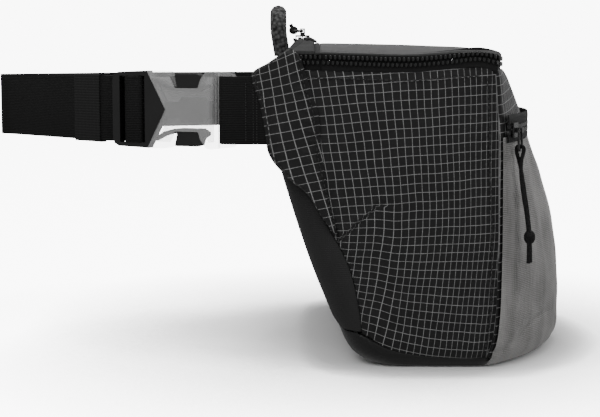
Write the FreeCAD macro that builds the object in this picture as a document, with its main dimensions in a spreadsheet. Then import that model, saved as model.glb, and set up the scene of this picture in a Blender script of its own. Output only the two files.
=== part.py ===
import FreeCAD, Part
import math
import os

from FreeCAD import Placement, Rotation, Vector

# Waist pack. Millimetres. +X is the pack's front, away from the wearer, +Y is
# across the wearer's body and +Z is up. The origin is the middle of the base's
# flat face, on the ground. "near" is the -Y side and "far" is the +Y side.

doc = FreeCAD.newDocument("WaistPack")
sheet = doc.addObject("Spreadsheet::Sheet", "Sizes")

DRIVING = {
    # webbing and belt
    "webbing_width": 38.0,
    "webbing_thick": 1.3,
    "belt_height": 149.5,
    "buckle_turn": 22.0,
    "keeper_length": 27.0,
    # bag shell
    "half_width": 115.0,
    "rim_height": 176.0,
    "panel_top": 172.0,
    "crown_height": 187.5,
    "hinge_line": -78.0,
    "wall": 1.6,
    "rear_corner": 20.0,
    "back_bow": 3.0,
    "front_corner": 1.5,
    "foam_thick": 5.6,
    "stiffener_thick": 1.6,
    "lining_thick": 0.8,
    "mesh_thick": 1.0,
    # wing
    "wing_skin": 1.2,
    "wing_pad": 1.5,
    # zips
    "chain_gap": 1.2,
    "chain_row": 2.7,
    "chain_thick": 2.2,
    "tape_thick": 0.7,
    "main_chain_height": 177.7,
    "pocket_chain_height": 138.0,
    "rear_chain_line": -86.5,
    "slider_length": 10.0,
    "plate_thick": 0.9,
    "bail_wire": 1.4,
    "cord_width": 2.2,
    # buckle
    "socket_thick": 10.5,
    "socket_wall": 2.1,
    "frame_thick": 5.8,
    "slot_height": 38.6,
    # carrying loop
    "loop_width": 9.0,
    "loop_foot": 190.0,
    "loop_top": 208.2,
    "loop_reach": 22.0,
}

for row, (alias, value) in enumerate(DRIVING.items(), start=1):
    sheet.set(f"A{row}", str(value))
    sheet.setAlias(f"A{row}", alias)
    sheet.set(f"B{row}", alias.replace("_", " "))
doc.recompute()


def size(alias):
    """A driving dimension, read from the sheet."""
    return float(sheet.get(alias))


SUB_PARTS = []


def keep(obj, label):
    """Name an object as one of the pack's sub-parts."""
    obj.Label = label
    SUB_PARTS.append(obj)
    return obj


# ---------------------------------------------------------------- helpers


def profile(name, shape):
    """A wire or face that other objects of the document are made from."""
    obj = doc.addObject("Part::Feature", name)
    obj.Shape = shape
    return obj


def polygon_face(points):
    return Part.Face(Part.makePolygon(points + points[:1]))


def loft(name, wires):
    obj = doc.addObject("Part::Loft", name)
    obj.Sections = [profile(f"{name}_section", wire) for wire in wires]
    obj.Solid = True
    obj.Ruled = True
    return obj


def extrude(name, base, direction, length):
    """Extrude a profile. length is a number or an expression on the sheet."""
    obj = doc.addObject("Part::Extrusion", name)
    obj.Base = base
    obj.DirMode = "Custom"
    obj.Dir = direction
    obj.Solid = True
    if isinstance(length, str):
        obj.setExpression("LengthFwd", length)
    else:
        obj.LengthFwd = length
    return obj


def cut(name, base, tool):
    obj = doc.addObject("Part::Cut", name)
    obj.Base = base
    obj.Tool = tool
    return obj


def common(name, base, tool):
    obj = doc.addObject("Part::Common", name)
    obj.Base = base
    obj.Tool = tool
    return obj


def fuse(name, shapes):
    obj = doc.addObject("Part::MultiFuse", name)
    obj.Shapes = shapes
    return obj


def group(name, shapes):
    """Separate solids kept in one object."""
    obj = doc.addObject("Part::Compound", name)
    obj.Links = shapes
    return obj


def box(name, low, high):
    obj = doc.addObject("Part::Box", name)
    obj.Length, obj.Width, obj.Height = [b - a for a, b in zip(low, high)]
    obj.Placement = Placement(Vector(*low), Rotation())
    return obj


def side_prism(name, points):
    """A prism through the whole width, from an outline of (x, z) points."""
    reach = 2 * size("half_width")
    face = polygon_face([Vector(x, -reach, z) for x, z in points])
    return extrude(name, profile(name + "_outline", face), Vector(0, 1, 0), 2 * reach)


def rounded_wire(points, largest=None, report=None):
    """Straight runs joined by tangent arcs, one arc at each inner point."""
    edges = []
    start = points[0]
    radii = []
    for before, corner, after in zip(points, points[1:], points[2:]):
        back, ahead = before - corner, after - corner
        shorter = min(back.Length, ahead.Length)
        half_turn = (math.pi - back.getAngle(ahead)) / 2
        radius = 0.45 * shorter / math.tan(half_turn)
        if largest is not None:
            radius = min(radius, largest)
        reach = radius * math.tan(half_turn)
        back.normalize()
        ahead.normalize()
        enter, leave = corner + back * reach, corner + ahead * reach
        inward = back + ahead
        inward.normalize()
        middle = corner + inward * (radius / math.cos(half_turn) - radius)
        edges.append(Part.LineSegment(start, enter).toShape())
        edges.append(Part.Arc(enter, middle, leave).toShape())
        start = leave
        radii.append(round(radius, 1))
    edges.append(Part.LineSegment(start, points[-1]).toShape())
    if report:
        print(report, "arc radii", radii)
    return Part.Wire(edges)


def strap(name, route, low, largest=6.0):
    """Webbing on edge: a plan route thickened and raised by its width."""
    spine = profile(name + "_route", rounded_wire([Vector(x, y, low) for x, y in route], largest))
    band = doc.addObject("Part::Offset2D", name + "_band")
    band.Source = spine
    band.Mode = "Pipe"
    band.Fill = True
    band.setExpression("Value", "Sizes.webbing_thick / 2")
    return extrude(name, band, Vector(0, 0, 1), "Sizes.webbing_width")


def tube(name, wire, diameter):
    """A round bar or cord along a wire."""
    start = wire.Edges[0]
    direction = start.tangentAt(start.FirstParameter)
    ring = Part.Wire(Part.Circle(wire.Edges[0].valueAt(start.FirstParameter), direction, diameter / 2).toShape())
    obj = doc.addObject("Part::Feature", name)
    obj.Shape = wire.makePipeShell([ring], True, True)
    expected = math.pi * diameter**2 / 4 * wire.Length
    error = abs(obj.Shape.Volume / expected - 1)
    if error > 0.02:
        raise ValueError(f"{name}: tube volume is off by {error:.1%}")
    return obj


# ---------------------------------------------------------------- bag shell

# height, back's middle line, seam at the front corner, front's middle line,
# and how much narrower than the half width the shell is there
LEVELS = [
    (0.0, -51.0, 20.0, 42.0, 8.0),
    (8.0, -61.0, 24.0, 48.0, 3.0),
    (25.0, -69.0, 27.0, 50.0, 1.0),
    (60.0, -83.0, 28.0, 51.0, 0.0),
    (110.0, -99.0, 28.0, 52.0, 0.0),
    (138.0, -106.0, 27.5, 53.0, 0.0),
    (156.0, -106.5, 26.5, 46.5, 0.5),
    (176.0, -106.5, 25.0, 37.0, 1.0),
]


def level_at(height):
    """The shell's level at any height, on straight lines between levels."""
    for low, high in zip(LEVELS, LEVELS[1:]):
        if height <= high[0]:
            break
    share = (height - low[0]) / (high[0] - low[0])
    return tuple(a + share * (b - a) for a, b in zip(low, high))


def arc(start, middle, end):
    return Part.Arc(start, middle, end).toShape()


def outline(level, height, inset=0.0, back_inset=None):
    """Closed plan outline: bowed back, straight sides, bowed front, round corners."""
    _, back, seam, front, narrower = level
    back = back + (inset if back_inset is None else back_inset)
    half = size("half_width") - narrower - inset
    seam, front = seam - inset / 2, front - inset
    rear, small = size("rear_corner"), size("front_corner")
    rear_x, rear_y = back + size("back_bow"), half - rear
    front_y = half - small
    slant = math.sqrt(0.5)

    def at(x, y):
        return Vector(x, y, height)

    half_edges = []
    for side in (1, -1):
        half_edges.append([
            arc(at(rear_x, side * rear_y),
                at(rear_x + rear * (1 - slant), side * (rear_y + rear * slant)),
                at(rear_x + rear, side * half)),
            Part.LineSegment(at(rear_x + rear, side * half), at(seam - small, side * half)).toShape(),
            arc(at(seam - small, side * half),
                at(seam - small * (1 - slant), side * (half - small * (1 - slant))),
                at(seam, side * front_y)),
        ])
    back_arc = arc(at(rear_x, -rear_y), at(back, 0), at(rear_x, rear_y))
    front_arc = arc(at(seam, front_y), at(front, 0), at(seam, -front_y))
    return Part.Wire([back_arc] + half_edges[0] + [front_arc] + half_edges[1][::-1])


def shell_loft(name, inset, back_inset=None, floor=0.0, top=None):
    """The shell's solid, set in by a wall and cut off at a floor and a top."""
    top = size("rim_height") if top is None else top
    heights = [floor] + [lv[0] for lv in LEVELS if floor + 3 < lv[0] < top - 3] + [top]
    return loft(name, [outline(level_at(z), z, inset, back_inset) for z in heights])


wall = size("wall")
foam = size("foam_thick")
gap = 0.1
outer = shell_loft("shell_outer", 0.0)
inner = shell_loft("shell_inner", wall, floor=wall)
tall_inner = extrude("shell_mouth", profile("mouth", Part.Face(outline(
    level_at(size("rim_height")), size("rim_height") - 0.01, wall))), Vector(0, 0, 1), 5.0)
shell = cut("shell", outer, fuse("shell_hollow", [inner, tall_inner]))

# Above the side panels only the back wall goes on up, to meet the yoke.
mouth_trim = box("mouth_trim", (size("hinge_line") - 0.3, -150, size("panel_top")), (120, 150, 200))
shell_trimmed = cut("shell_trimmed", shell, mouth_trim)

REAR_SEAM = [(-98, 190), (-94, 112), (-84, 102), (-75, 88), (-60, 60), (-54, 35), (-52, 18), (-48, -5)]
FRONT_SEAM = [(22.0, 190), (25.5, 138), (26.0, 110), (26.0, 60), (24.6, 22), (21.0, 8), (16.0, -5)]
BASE_SEAM = [(-150, 24), (-53, 20), (-35, 10.5), (-9, 6), (25, 5), (150, 5)]

base_prism = side_prism("base_prism", BASE_SEAM + [(150, -10), (-150, -10)])
back_prism = side_prism("back_prism", REAR_SEAM + [(-150, -5), (-150, 190)])
front_prism = side_prism("front_prism", FRONT_SEAM + [(150, -5), (150, 190)])

keep(common("base", shell_trimmed, base_prism), "base_panel")
above_base = cut("above_base", shell_trimmed, base_prism)
keep(common("back", above_base, back_prism), "back_panel")
keep(common("front", above_base, front_prism), "front_panel")
sides = cut("sides", cut("not_back", above_base, back_prism), front_prism)
near_half = box("near_half", (-150, -150, -10), (150, 0, 200))
far_half = box("far_half", (-150, 0, -10), (150, 150, 200))
keep(common("side_near", sides, near_half), "side_panel_near")
keep(common("side_far", sides, far_half), "side_panel_far")

# Sealed between the shell and the lining: foam down the back and a stiff base.
foam_front = shell_loft("foam_front", -3.0, back_inset=wall + gap + foam, floor=0.0)
foam_solid = shell_loft("foam_solid", 4.0, back_inset=wall + gap, floor=14.0, top=170.0)
keep(cut("foam", foam_solid, foam_front), "back_foam")
stiffener_low = wall + gap
stiffener = extrude("stiffener", profile("stiffener_outline", Part.Face(
    outline(level_at(stiffener_low), stiffener_low, 9.0))), Vector(0, 0, 1), "Sizes.stiffener_thick")
keep(stiffener, "base_stiffener")

lining_back = wall + gap + foam + gap
lining_floor = stiffener_low + size("stiffener_thick") + gap
skin = size("lining_thick")
lining_outer = shell_loft("lining_outer", wall + gap, lining_back, lining_floor, 170.0)
lining_inner = shell_loft("lining_inner", wall + gap + skin, lining_back + skin, lining_floor + skin, 170.0)
lining_mouth = extrude("lining_mouth", profile("lining_rim", Part.Face(outline(
    level_at(170.0), 169.99, wall + gap + skin, lining_back + skin))), Vector(0, 0, 1), 3.0)
keep(cut("lining_shell", lining_outer, fuse("lining_hollow", [lining_inner, lining_mouth])), "lining")

# ---------------------------------------------------------------- front pocket

# height and middle line of the gathered mesh pocket, from its hem to its zip
POCKET_LEVELS = [(1.0, 72.0), (7.0, 77.5), (24.0, 78.5), (50.0, 77.5), (80.0, 73.5), (108.0, 65.0), (133.2, 56.5)]


def pocket_outline(height, middle, inset):
    """A bow from one front seam round to the other, closed across the shell."""
    _, _, seam, _, narrower = level_at(height)
    half = size("half_width") - narrower + 0.9 - inset
    ends = [Vector(seam + 0.6, side * half, height) for side in (-1, 1)]
    bow = arc(ends[0], Vector(middle - inset, 0, height), ends[1])
    chord = Part.LineSegment(ends[1], ends[0]).toShape()
    return Part.Wire([bow, chord])


mesh = size("mesh_thick")
pocket_outer = loft("pocket_outer", [pocket_outline(z, x, 0.0) for z, x in POCKET_LEVELS])
pocket_inner = loft("pocket_inner", [pocket_outline(z, x, mesh) for z, x in POCKET_LEVELS])
pocket_skin = cut("pocket_skin", pocket_outer, pocket_inner)
pocket_hem = extrude("pocket_hem", profile("hem_outline", Part.Face(
    pocket_outline(1.0, 71.5, 0.5))), Vector(0, 0, 1), "Sizes.mesh_thick")
keep(cut("pocket", fuse("pocket_sewn", [pocket_skin, pocket_hem]), outer), "front_pocket")

# ---------------------------------------------------------------- zips

row_high = size("chain_row")
half_gap = size("chain_gap") / 2
chain_half = size("chain_thick") / 2
tape_half = size("tape_thick") / 2


def band(name, level, low, high, offset, half_thick):
    """A strip standing round the shell's outline, offset outwards to its mid line."""
    outside = Part.Face(outline(level, low, -(offset + half_thick)))
    inside = Part.Face(outline(level, low, -(offset - half_thick)))
    return extrude(name, profile(name + "_plan", outside.cut(inside)), Vector(0, 0, 1), high - low)


def ahead_of(name, x):
    return box(name, (x, -150, 0), (150, 150, 220))


main_height = size("main_chain_height")
main_level = level_at(size("rim_height"))
main_inset = -wall / 2
hinge_line = size("hinge_line")
cap_low = main_height + half_gap + row_high + 1.2
# The chain starts by the hinge on the near side, and past its parked slider on
# the far side.
open_side = fuse("open_side", [
    box("open_near", (hinge_line + 2.0, -150, 0), (150, 0, 220)),
    ahead_of("open_far", hinge_line + 11.5)])
for part_name, low_row, low_tape, high_tape in (
    ("body", main_height - half_gap - row_high, size("panel_top"), main_height - half_gap - 0.6),
    ("lid", main_height + half_gap, main_height + half_gap + 0.6, cap_low),
):
    row_band = band(f"main_row_{part_name}", main_level, low_row, low_row + row_high, main_inset, chain_half)
    keep(common(f"main_row_cut_{part_name}", row_band, open_side), f"main_zip_teeth_{part_name}")
    tape_band = band(f"main_tape_{part_name}", main_level, low_tape, high_tape, main_inset - 0.35, tape_half)
    tape_open = common(f"main_tape_cut_{part_name}", tape_band, open_side)
    keep(cut(f"main_tape_clear_{part_name}", tape_open, row_band), f"main_zip_tape_{part_name}")

pocket_height = size("pocket_chain_height")
pocket_level = level_at(pocket_height)
POCKET_ZIP_OFFSET = 2.4
corner_side = ahead_of("corner_side", pocket_level[2] + 2.6)
pocket_rows = [
    band("pocket_row_low", pocket_level, pocket_height - half_gap - row_high,
         pocket_height - half_gap, POCKET_ZIP_OFFSET, chain_half),
    band("pocket_row_high", pocket_level, pocket_height + half_gap,
         pocket_height + half_gap + row_high, POCKET_ZIP_OFFSET, chain_half),
]
keep(common("pocket_rows_cut", group("pocket_rows", pocket_rows), corner_side), "pocket_zip_teeth")
pocket_tapes = [
    band("pocket_tape_low", pocket_level, pocket_height - 6.2,
         pocket_height - half_gap - row_high, POCKET_ZIP_OFFSET, tape_half),
    band("pocket_tape_high", pocket_level, pocket_height + half_gap + row_high,
         pocket_height + 6.2, POCKET_ZIP_OFFSET, tape_half),
]
pocket_tape_cut = common("pocket_tapes_cut", group("pocket_tapes", pocket_tapes), corner_side)
keep(cut("pocket_tapes_clear", pocket_tape_cut, pocket_outer), "pocket_zip_tape")

# The security zip lies flat along the yoke.
REAR_ZIP_REACH = 90.0
rear_line = size("rear_chain_line")
rear_height = size("crown_height") + 2.6
rear_rows = [
    box("rear_row_back", (rear_line - half_gap - row_high, -REAR_ZIP_REACH, rear_height - chain_half),
        (rear_line - half_gap, REAR_ZIP_REACH, rear_height + chain_half)),
    box("rear_row_front", (rear_line + half_gap, -REAR_ZIP_REACH, rear_height - chain_half),
        (rear_line + half_gap + row_high, REAR_ZIP_REACH, rear_height + chain_half)),
]
keep(group("rear_rows", rear_rows), "rear_zip_teeth")
rear_tapes = [
    box("rear_tape_back", (rear_line - 5.6, -REAR_ZIP_REACH, rear_height - tape_half),
        (rear_line - half_gap - row_high, REAR_ZIP_REACH, rear_height + tape_half)),
    box("rear_tape_front", (rear_line + half_gap + row_high, -REAR_ZIP_REACH, rear_height - tape_half),
        (rear_line + 5.6, REAR_ZIP_REACH, rear_height + tape_half)),
]
keep(group("rear_tapes", rear_tapes), "rear_zip_tape")

# ---------------------------------------------------------------- lid and yoke

rim = size("rim_height")
crown = size("crown_height")
# height and inset of the domed top, outside and inside
CAP = [(rim, 0.0), (cap_low, 0.4), (184.6, 3.6), (crown, 15.0)]
cap_outer = loft("cap_outer", [outline(main_level, z, inset) for z, inset in CAP])
cap_inner = loft("cap_inner", [outline(main_level, z - (wall if z > rim else 0.1), inset + wall) for z, inset in CAP])
cap = cut("cap", cap_outer, cap_inner)
lid_space = box("lid_space", (hinge_line + 0.3, -150, cap_low), (150, 150, 220))
yoke_space = box("yoke_space", (-150, -150, rim), (hinge_line - 0.3, 150, 220))
keep(common("lid_shell", cap, lid_space), "lid_panel")
keep(common("yoke_shell", cap, yoke_space), "yoke")

# ---------------------------------------------------------------- wings

WING_EDGES = [
    # over the top, down the side seam, back along the rear seam, up the belt end
    [(-115.5, 170), (-106, 176.5), (-97.6, 182), (-92.5, 184.2), (-88, 180), (-85.7, 173)],
    [(-85.7, 173), (-77.8, 148.7), (-75, 121.5), (-71, 98.6), (-66.3, 77)],
    [(-66.3, 77), (-75, 88), (-84, 102), (-94.8, 111)],
    [(-94.8, 111), (-106, 124), (-108, 138), (-111, 154), (-115.5, 170)],
]


def wing_outline(y):
    edges = []
    for points in WING_EDGES:
        curve = Part.BSplineCurve()
        curve.interpolate([Vector(x, y, z) for x, z in points])
        edges.append(curve.toShape())
    return Part.Face(Part.Wire(edges))


webbing = size("webbing_thick")
wing_start = size("half_width") + 0.4
wing_strap_y = wing_start + size("wing_pad") + webbing / 2 + 0.05
wing_skin_y = wing_strap_y + webbing / 2 + 0.05
for side_name, side in (("near", -1), ("far", 1)):
    for layer, start, alias in (("pad", wing_start, "wing_pad"), ("skin", wing_skin_y, "wing_skin")):
        face = profile(f"wing_{layer}_{side_name}_outline", wing_outline(side * start))
        plate = extrude(f"wing_{layer}_{side_name}_plate", face, Vector(0, side, 0), f"Sizes.{alias}")
        keep(plate, f"wing_{layer}_{side_name}")

# ---------------------------------------------------------------- buckle

# The buckle's own frame: x runs along the belt towards the near wing, y into
# the loop and z up, from the middle of the socket's webbing end.
turn = math.radians(size("buckle_turn"))
BUCKLE = Placement(Vector(-124.0, -size("half_width"), size("belt_height")),
                   Rotation(Vector(0, 0, 1), -size("buckle_turn")))


def on_belt(x, y):
    """A point of the buckle's frame, in plan."""
    spot = BUCKLE.multVec(Vector(x, y, 0))
    return (spot.x, spot.y)


def new_body(name):
    body = doc.addObject("PartDesign::Body", name)
    body.Placement = BUCKLE
    return body


def face_sketch(body, name, loops):
    """A sketch on the body's XZ plane, of closed outlines of straight lines."""
    sketch = body.newObject("Sketcher::SketchObject", name)
    plane = [f for f in body.Origin.OriginFeatures if f.Role == "XZ_Plane"][0]
    sketch.AttachmentSupport = (plane, [""])
    sketch.MapMode = "FlatFace"
    for points in loops:
        for (ax, az), (bx, bz) in zip(points, points[1:] + points[:1]):
            sketch.addGeometry(Part.LineSegment(Vector(ax, az, 0), Vector(bx, bz, 0)), False)
    return sketch


def pad(body, name, loops, length):
    feature = body.newObject("PartDesign::Pad", name)
    feature.Profile = face_sketch(body, name + "_sketch", loops)
    feature.Midplane = True
    feature.setExpression("Length", length)
    doc.recompute()
    return feature


def pocket(body, name, loops, length=None):
    before = body.Shape.Volume
    feature = body.newObject("PartDesign::Pocket", name)
    feature.Profile = face_sketch(body, name + "_sketch", loops)
    feature.Midplane = True
    if length is None:
        feature.Type = "ThroughAll"
    else:
        feature.setExpression("Length", length)
    doc.recompute()
    if body.Shape.Volume > before - 1.0:
        raise ValueError(f"{name} cuts nothing")
    return feature


def mirrored(points):
    """Outline points above the middle, followed by the same below it."""
    return points + [(x, -z) for x, z in reversed(points) if z > 0]


def rectangle(x0, x1, half):
    return [(x0, -half), (x1, -half), (x1, half), (x0, half)]


def fillet(body, name, radius, chosen):
    """Round those straight edges of the body that chosen() picks by their middle."""
    tip = body.Tip
    names = []
    for index, edge in enumerate(tip.Shape.Edges, start=1):
        if chosen(edge):
            names.append(f"Edge{index}")
    feature = body.newObject("PartDesign::Fillet", name)
    feature.Base = (tip, names)
    feature.Radius = radius
    doc.recompute()
    return feature


slot_half = size("slot_height") / 2
CHEVRON_TIP = -43.2
CHEVRON_WING = -55.0
BUCKLE_HALF = 22.4

# Socket: a hollow shell with a window for each latch, thinned at its webbing slot.
SOCKET_TAIL = 3.6
socket = new_body("socket")
pad(socket, "socket_block", [mirrored([
    (0.0, 18.5), (-1.5, 20.8), (-14.0, 22.2), (-17.0, 21.6), (-20.6, 17.0), (-22.0, 12.4), (-37.0, 12.4),
    (-39.8, 18.0), (-41.0, 21.0), (-43.5, 22.2), (CHEVRON_WING + 0.4, BUCKLE_HALF), (CHEVRON_TIP + 0.4, 0.0)])],
    "Sizes.socket_thick")
pocket(socket, "socket_hollow", [rectangle(-60.0, -15.5, 18.6)], "Sizes.socket_thick - 2 * Sizes.socket_wall")
pocket(socket, "socket_slot", [rectangle(-11.6, -7.6, slot_half)])
socket_tail = [box("socket_tail_front", (-12.6, -8.0, -30.0), (1.0, -SOCKET_TAIL / 2, 30.0)),
               box("socket_tail_back", (-12.6, SOCKET_TAIL / 2, -30.0), (1.0, 8.0, 30.0))]
for step in socket_tail:
    step.Placement = BUCKLE.multiply(step.Placement)
keep(cut("socket_thinned", socket, fuse("socket_tail", socket_tail)), "buckle_socket")

# Plug: ladder frame for the webbing, chevron nose and centre tongue.
plug = new_body("plug")
pad(plug, "plug_frame", [mirrored([
    (CHEVRON_TIP, 0.0), (CHEVRON_WING, BUCKLE_HALF), (-74.5, 21.6), (-77.4, 20.0), (-78.3, 17.0)])],
    "Sizes.frame_thick")
pocket(plug, "plug_slots", [rectangle(-73.6, -67.6, slot_half), rectangle(-61.2, -57.2, slot_half)])
pad(plug, "plug_tongue", [mirrored([(-50.0, 4.7), (-35.0, 4.7), (-33.5, 7.4), (-18.0, 7.4), (-16.2, 5.0)])],
    "Sizes.frame_thick - 0.4")
keep(plug, "buckle_plug")

# Latches: springy arms with a thumb button, one above and one below the tongue.
for name, side in (("upper", 1), ("lower", -1)):
    latch = new_body("latch_" + name)
    arm = [(-51.2, 16.0), (-50.3, 15.6), (-45.0, 12.6), (-38.5, 11.0), (-34.0, 10.6), (-20.5, 10.6), (-17.0, 12.6),
           (-17.0, 14.5), (-20.0, 16.4), (-21.2, 20.2), (-24.0, 21.0), (-38.2, 21.0), (-36.6, 13.6),
           (-40.0, 13.8), (-45.0, 15.4), (-50.6, 18.2), (-52.3, 18.4)]
    outline_points = [(x, side * z) for x, z in arm]
    pad(latch, "latch_block_" + name, [outline_points], "Sizes.frame_thick - 0.4")
    keep(latch, "latch_" + name)

# ---------------------------------------------------------------- straps

low_edge = size("belt_height") - size("webbing_width") / 2
near_wing = (-100.0, -wing_strap_y)
near_route = [near_wing, (-113.0, -wing_strap_y), on_belt(-0.6, -2.6), on_belt(-9.6, -2.6),
              on_belt(-9.6, 2.7), on_belt(-0.6, 2.7), (-114.6, -wing_strap_y + webbing + 0.1)]
keep(strap("strap_socket_end", near_route, low_edge, 1.4), "strap_near")

# From its free tail, through the plug's ladder and back round to the loop's end.
BELT_BEND = (-203.0, -79.5)
BELT_END = (-273.5, -7.6)
along = Vector(BELT_END[0] - BELT_BEND[0], BELT_END[1] - BELT_BEND[1], 0)
along.normalize()
inside = Vector(-along.y, along.x, 0)
if inside.x < 0:
    inside = inside * -1


def beside(start, distance, depth):
    """A point along the straight stretch of belt, set in towards the wearer."""
    spot = Vector(start[0], start[1], 0) + along * distance + inside * depth
    return (spot.x, spot.y)


TAIL_DEPTH = webbing + 0.35
plug_route = [beside(BELT_BEND, 52.0, TAIL_DEPTH), beside(BELT_BEND, 1.6, TAIL_DEPTH), on_belt(-59.4, 6.0),
              on_belt(-59.4, -3.65), on_belt(-69.8, -3.65), on_belt(-71.0, 4.1), BELT_BEND,
              BELT_END, (-280.4, -0.65)]
keep(strap("strap_plug_end", plug_route, low_edge, 2.0), "strap_adjuster")
far_wing = (-100.0, wing_strap_y)
far_route = [far_wing, (-119.0, wing_strap_y), (-199.0, 83.0), (-234.6, 50.4), (BELT_END[0], 7.6), (-280.4, 0.65)]
keep(strap("strap_wing_end", far_route, low_edge, 20.0), "strap_far")

# Elastic keeper round the belt and its tail.
KEEPER_START = 5.0
keeper_outer = [beside(BELT_BEND, KEEPER_START, -1.9), beside(BELT_BEND, KEEPER_START + size("keeper_length"), -1.9),
                beside(BELT_BEND, KEEPER_START + size("keeper_length"), TAIL_DEPTH + 1.9),
                beside(BELT_BEND, KEEPER_START, TAIL_DEPTH + 1.9)]
keeper_hole = [beside(BELT_BEND, KEEPER_START - 1, -0.9),
               beside(BELT_BEND, KEEPER_START + size("keeper_length") + 1, -0.9),
               beside(BELT_BEND, KEEPER_START + size("keeper_length") + 1, TAIL_DEPTH + 0.9),
               beside(BELT_BEND, KEEPER_START - 1, TAIL_DEPTH + 0.9)]
keeper_block = extrude("keeper_block", profile("keeper_plan", polygon_face(
    [Vector(x, y, low_edge - 1.2) for x, y in keeper_outer])), Vector(0, 0, 1), "Sizes.webbing_width + 2.4")
keeper_bore = extrude("keeper_bore", profile("keeper_hole_plan", polygon_face(
    [Vector(x, y, low_edge - 0.25) for x, y in keeper_hole])), Vector(0, 0, 1), "Sizes.webbing_width + 0.5")
keep(cut("keeper_band", keeper_block, keeper_bore), "strap_keeper")

# ---------------------------------------------------------------- sliders and pulls

CROWN_AXIS = 4.7  # height of the bail's axis over the chain's mid plane
BAIL_WIDTH = 6.8
BAIL_DROP = 11.6


def placed(obj, place):
    obj.Placement = place.multiply(obj.Placement)
    return obj


def slider(label, place):
    """Zip slider: x along the chain, y away from the bag, z across the chain."""
    half_length, plate = size("slider_length") / 2, size("plate_thick")
    wide = half_gap + row_high + 0.9
    deep = chain_half + 0.25
    block = box(label + "_block", (-half_length, -deep - plate, -wide), (half_length, deep + plate, wide))
    channel = box(label + "_channel", (-9, -deep, -wide + 0.65), (9, deep, wide - 0.65))
    tape_slot = box(label + "_slot", (-9, -0.75, -9), (9, 0.75, 9))
    hollowed = cut(label + "_hollowed", block, fuse(label + "_hollow", [channel, tape_slot]))
    divider = box(label + "_divider", (half_length - 2.4, -deep - 0.2, -0.3), (half_length - 0.6, deep + 0.2, 0.3))
    lug = box(label + "_lug", (-1.7, deep + plate - 0.1, -1.5), (1.7, CROWN_AXIS + 1.5, 1.5))
    bore = doc.addObject("Part::Cylinder", label + "_bore")
    bore.setExpression("Radius", "Sizes.bail_wire / 2 + 0.2")
    bore.Height = 6.0
    bore.Placement = Placement(Vector(-3, CROWN_AXIS, 0), Rotation(Vector(0, 1, 0), 90))
    whole = fuse(label + "_whole", [hollowed, divider, lug])
    return keep(placed(cut(label + "_cut", whole, bore), place), label)


def bail(label, place, drop=BAIL_DROP):
    """Oval wire bail through the slider's lug, in the slider's own frame."""
    half = BAIL_WIDTH / 2
    loop = [(0, 0), (half, 0), (half, -drop), (-half, -drop), (-half, 0), (0, 0)]
    wire = rounded_wire([place.multVec(Vector(x, CROWN_AXIS, z)) for x, z in loop], 2.4)
    return keep(tube(label + "_wire", wire, size("bail_wire")), label)


def cord(label, points):
    """One strand of a pull's cord: the route's points in the part's frame."""
    wire = rounded_wire(points, report=label)
    print(label, "length", round(wire.Length, 1))
    return keep(tube(label + "_tube", wire, size("cord_width")), label)


def knot(label, centre, radii):
    """An overhand knot as a squat ball."""
    ball = doc.addObject("Part::Ellipsoid", label)
    ball.Radius1, ball.Radius2, ball.Radius3 = radii[2], radii[0], radii[1]
    ball.Angle1, ball.Angle2, ball.Angle3 = -90, 90, 360
    ball.Placement = Placement(centre, Rotation())
    return keep(ball, label)


# Front pocket's slider rides the bowed zip, about the bow's upright axis.
_, _, pocket_seam, pocket_front, _ = pocket_level
bow_chord = size("half_width") - size("front_corner")
bow_rise = pocket_front - pocket_seam
bow_radius = (bow_chord**2 + bow_rise**2) / (2 * bow_rise)
BOW_CENTRE = Vector(pocket_front - bow_radius, 0, 0)
POCKET_START = -23.0
chain_radius = bow_radius + POCKET_ZIP_OFFSET
start_angle = math.radians(POCKET_START)
pocket_spot = BOW_CENTRE + Vector(chain_radius * math.cos(start_angle),
                                  chain_radius * math.sin(start_angle), pocket_height)
pocket_place = Placement(pocket_spot, Rotation(Vector(0, 0, 1), POCKET_START - 90))
print("pocket zip's bow centre x", round(BOW_CENTRE.x, 3), "chain radius", round(chain_radius, 3))
slider("pocket_slider", pocket_place)
bail("pocket_bail", pocket_place)

# Main slider parked at the hinge end of the far side.
main_spot = Vector(hinge_line + 6.3, size("half_width") - main_level[4] - wall / 2, main_height)
main_place = Placement(main_spot, Rotation())
slider("main_slider", main_place)
bail("main_bail", main_place)

# Security zip's slider, at the near end of the yoke.
rear_spot = Vector(rear_line, -80.0, rear_height)
rear_place = Placement(rear_spot, Rotation(Vector(0, 1, 0), Vector(0, 0, 1), Vector(1, 0, 0), "XYZ"))
slider("rear_slider", rear_place)
bail("rear_bail", rear_place, 6.0)


def pull_cords(name, place, drop, tails, lean):
    """Two strands of one doubled cord, from the bail's foot to past their knot.

    Both start face to face over the bail's foot. lean pushes the lower points
    away from the bag by their share of the drop."""
    foot = -BAIL_DROP
    side = 1.25
    hang = drop - 5.5
    for strand, sign in (("front", 1), ("back", -1)):
        route = [
            (0.0, CROWN_AXIS, foot + 2.3),
            (0.0, CROWN_AXIS + sign * 1.2, foot + 2.3),
            (0.0, CROWN_AXIS + sign * 2.2, foot + 1.4),
            (sign * 0.3, CROWN_AXIS + sign * 2.2, foot - 1.2),
            (sign * 1.0, CROWN_AXIS + sign * 0.9, foot - 5.5),
            (sign * side, CROWN_AXIS + lean * 0.15, foot - 5.5 - hang * 0.18),
            (sign * (side + 0.6), CROWN_AXIS + lean * 0.42, foot - 5.5 - hang * 0.43),
            (sign * (side + 0.1), CROWN_AXIS + lean * 0.78, foot - 5.5 - hang * 0.71),
            (sign * side, CROWN_AXIS + lean, foot - drop),
            (sign * (side + 1.2), CROWN_AXIS + lean, foot - drop - tails),
        ]
        cord(f"{name}_cord_{strand}", [place.multVec(Vector(*p)) for p in route])
    knot(f"{name}_knot", place.multVec(Vector(0, CROWN_AXIS + lean * 0.98, foot - drop + 2.0)), (3.3, 3.3, 4.2))


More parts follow.
